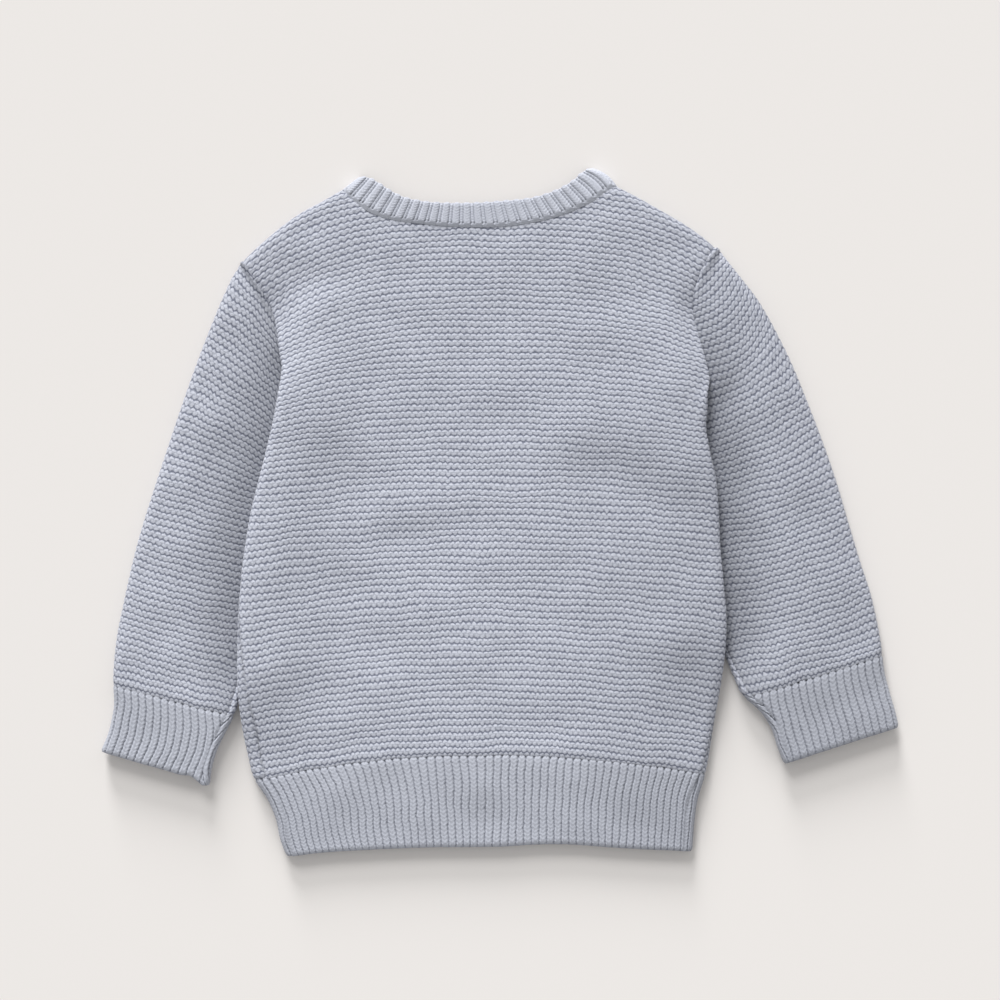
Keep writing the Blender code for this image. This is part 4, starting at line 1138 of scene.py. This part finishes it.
def knit_material(name, height_of, crest, gap, edge):
    """Knitted yarn. Its colour runs from gap, painted shade in the gaps between yarns, to crest
    where the height rises through edge.
    """
    graph = Graph(name)
    do = graph.math
    uv, u, v = graph.lattice(YARN_WANDER)
    mottle = graph.noise(uv, MOTTLE_SCALE, MOTTLE_DETAIL)["Fac"]
    fuzz = graph.noise(uv, FUZZ_SCALE, FUZZ_DETAIL)["Fac"]
    height = height_of(graph, u, v)
    ends = {"From Min": edge[0] + FUZZ_HEIGHT / 2, "From Max": edge[1] + FUZZ_HEIGHT / 2}
    rough = do("MULTIPLY_ADD", fuzz, FUZZ_HEIGHT, height)
    shade = graph.node("ShaderNodeMapRange", Value=rough, **ends)
    level = SHADE_BASE - (MOTTLE + FUZZ) / 2
    blend = do("MULTIPLY_ADD", shade.outputs["Result"], SHADE_SPAN, level)
    blend = do("MULTIPLY_ADD", fuzz, FUZZ, do("MULTIPLY_ADD", mottle, MOTTLE, blend))
    ramp = graph.node("ShaderNodeValToRGB", Fac=blend)
    # The gap colour is painted shade deep between the yarns.
    ramp.color_ramp.elements[0].color = (*gap, 1.0)
    ramp.color_ramp.elements[1].color = (*crest, 1.0)
    # The tone attribute scales the colour, with painted shade among it.
    tone = graph.nodes.new("ShaderNodeAttribute")
    tone.attribute_name = "tone"
    colour = graph.nodes.new("ShaderNodeVectorMath")
    colour.operation = "SCALE"
    graph.put(colour.inputs[0], ramp.outputs["Color"])
    graph.put(colour.inputs["Scale"], tone.outputs["Fac"])
    relief = do("MULTIPLY_ADD", fuzz, FUZZ_RELIEF, do("MULTIPLY", height, STITCH_RELIEF))
    bump = graph.node("ShaderNodeBump", Height=relief, **BUMP)
    inputs = {"Base Color": colour.outputs["Vector"], "Normal": bump.outputs["Normal"]}
    for socket, value in (inputs | WOOL).items():
        graph.put(graph.shader.inputs[socket], value)
    return graph.material


def floor_material():
    graph = Graph("backdrop")
    for socket, value in FLOOR.items():
        graph.put(graph.shader.inputs[socket], value)
    return graph.material


def linked(name, data):
    """A new object in the scene."""
    made = bpy.data.objects.new(name, data)
    bpy.context.scene.collection.objects.link(made)
    return made


def studio():
    """The floor, the camera straight above, and soft light from beyond the neck."""
    scene = bpy.context.scene
    plane = bpy.data.meshes.new("floor")
    far, low = FLOOR_SIZE / 2, -FLOOR_GAP
    corners = [(-far, -far, low), (far, -far, low), (far, far, low), (-far, far, low)]
    plane.from_pydata(corners, [], [(0, 1, 2, 3)])
    plane.materials.append(floor_material())
    floor = linked("floor", plane)
    scene.world = bpy.data.worlds.new("studio")
    scene.world.use_nodes = True
    for socket, value in SKY.items():
        scene.world.node_tree.nodes["Background"].inputs[socket].default_value = value
    for name, strength, angle, heading, elevation in LIGHTS:
        data = bpy.data.lights.new(name, "SUN")
        data.energy = strength
        data.angle = angle
        lamp = linked(name, data)
        lamp.rotation_euler = (math.pi / 2 - elevation, 0, heading + math.pi / 2)
    data = bpy.data.cameras.new("camera")
    data.lens = SENSOR * CAMERA_HEIGHT / VIEW_WIDTH
    data.sensor_width = SENSOR
    scene.camera = linked("camera", data)
    scene.camera.location = (0, VIEW_MIDDLE, CAMERA_HEIGHT)
    scene.view_settings.view_transform = "Standard"


def hole_shade(last):
    """The wool's tone in a rib, with painted shade in the holes at its last row."""
    return lambda u, v: 1 - HOLE_SHADE * valley_hole(u, v, last)


def side_seam_tone(clearance):
    """The front's tone: darker along its side seams, and most on its ridges."""

    def tone(u, v):
        seam = bell(np.maximum(clearance(u, v), 0), SIDE_SEAM_WIDTH)
        return 1 - SIDE_SEAM_TONE * seam * (1 - SEAM_RIDGES + SEAM_RIDGES * np.cos(2 * math.pi * v))

    return tone


def body_pieces(garter, rib):
    body = Body()
    ruler = Ruler(body, BODY_KNIT, HEM_LINE + SEAM_GAP / 2, BODY_TOP)
    hem_ruler = Ruler(body, HEM_ROWS, HEM_EDGE, HEM_LINE - SEAM_GAP / 2)
    last = hem_ruler.count[-1]

    def garter_stitch(u, row, x0, x1):
        return u * smooth(BODY_KNIT, 1, row)

    def rib_stitch(u, row, x0, x1):
        t = np.abs(u) / HEM_RIBS
        spread = np.sign(u) * (HEM_SPREAD * t - (HEM_SPREAD - 1) * t**3)
        return spread * np.where(u < 0, ROW_MIDDLE - x0, x1 - ROW_MIDDLE)

    pieces = []
    for name, under, seed in (("back", False, 21), ("front", True, 11)):
        shift = FRONT_SHIFT if under else 0
        place, clearance = body_place(body, ruler, garter_stitch, under, seed, shift=shift)
        shade = side_seam_tone(clearance) if under else None
        stitch = (garter, garter_lines, garter_depth)
        pieces.append(knit(name, stitch, BODY_SPANS, BODY_UNIT, place, clearance, under, shade))
    for name, under, seed in (("hem_rib_back", False, 41), ("hem_rib_front", True, 31)):
        place, clearance = body_place(body, hem_ruler, rib_stitch, under, seed, RIB_UNEVEN)
        stitch = (rib, rib_lines, edged_rib(last))
        shade = hole_shade(last)
        pieces.append(knit(name, stitch, HEM_SPANS, HEM_UNIT, place, clearance, under, shade))
    return pieces


def sleeve_pieces(word, sleeve, garter, rib, seed):
    ruler = Ruler(sleeve, SLEEVE_KNIT, sleeve.cuff_line + SEAM_GAP / 2, sleeve.top)
    place, clearance, tone = sleeve_place(sleeve, ruler, seed)
    stitch = (garter, garter_lines, garter_depth)
    name = "sleeve_" + word
    arm = knit(name, stitch, SLEEVE_SPANS, SLEEVE_UNIT, place, clearance, shade=tone)
    ruler = Ruler(sleeve, CUFF_ROWS, sleeve.bottom, sleeve.cuff_line - SEAM_GAP / 2)
    place, clearance, _ = sleeve_place(sleeve, ruler, seed + CUFF_SEED, RIB_UNEVEN)
    last = ruler.count[-1]
    stitch = (rib, rib_lines, edged_rib(last))
    name = "cuff_" + word
    cuff = knit(name, stitch, CUFF_SPANS, CUFF_UNIT, place, clearance, shade=hole_shade(last))
    return [arm, cuff]


def main():
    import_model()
    garter = knit_material("garter_knit", garter_height, GARTER_CREST, GARTER_GAP_SHADE, GARTER_EDGE)
    rib = knit_material("rib_knit", rib_height, RIB_CREST, RIB_GAP_SHADE, RIB_EDGE)
    pieces = body_pieces(garter, rib)
    left = Sleeve(-1, LEFT_SLEEVE, LEFT_EDGE, LEFT_UNDERARM, LEFT_CUFF_LINE)
    right = Sleeve(1, RIGHT_SLEEVE, RIGHT_EDGE, RIGHT_UNDERARM, RIGHT_CUFF_LINE)
    pieces += sleeve_pieces("left", left, garter, rib, seed=61)
    pieces += sleeve_pieces("right", right, garter, rib, seed=71)
    pieces.append(ring_knit("neckband", Neckband(), rib, seed=81))
    studio()


main()
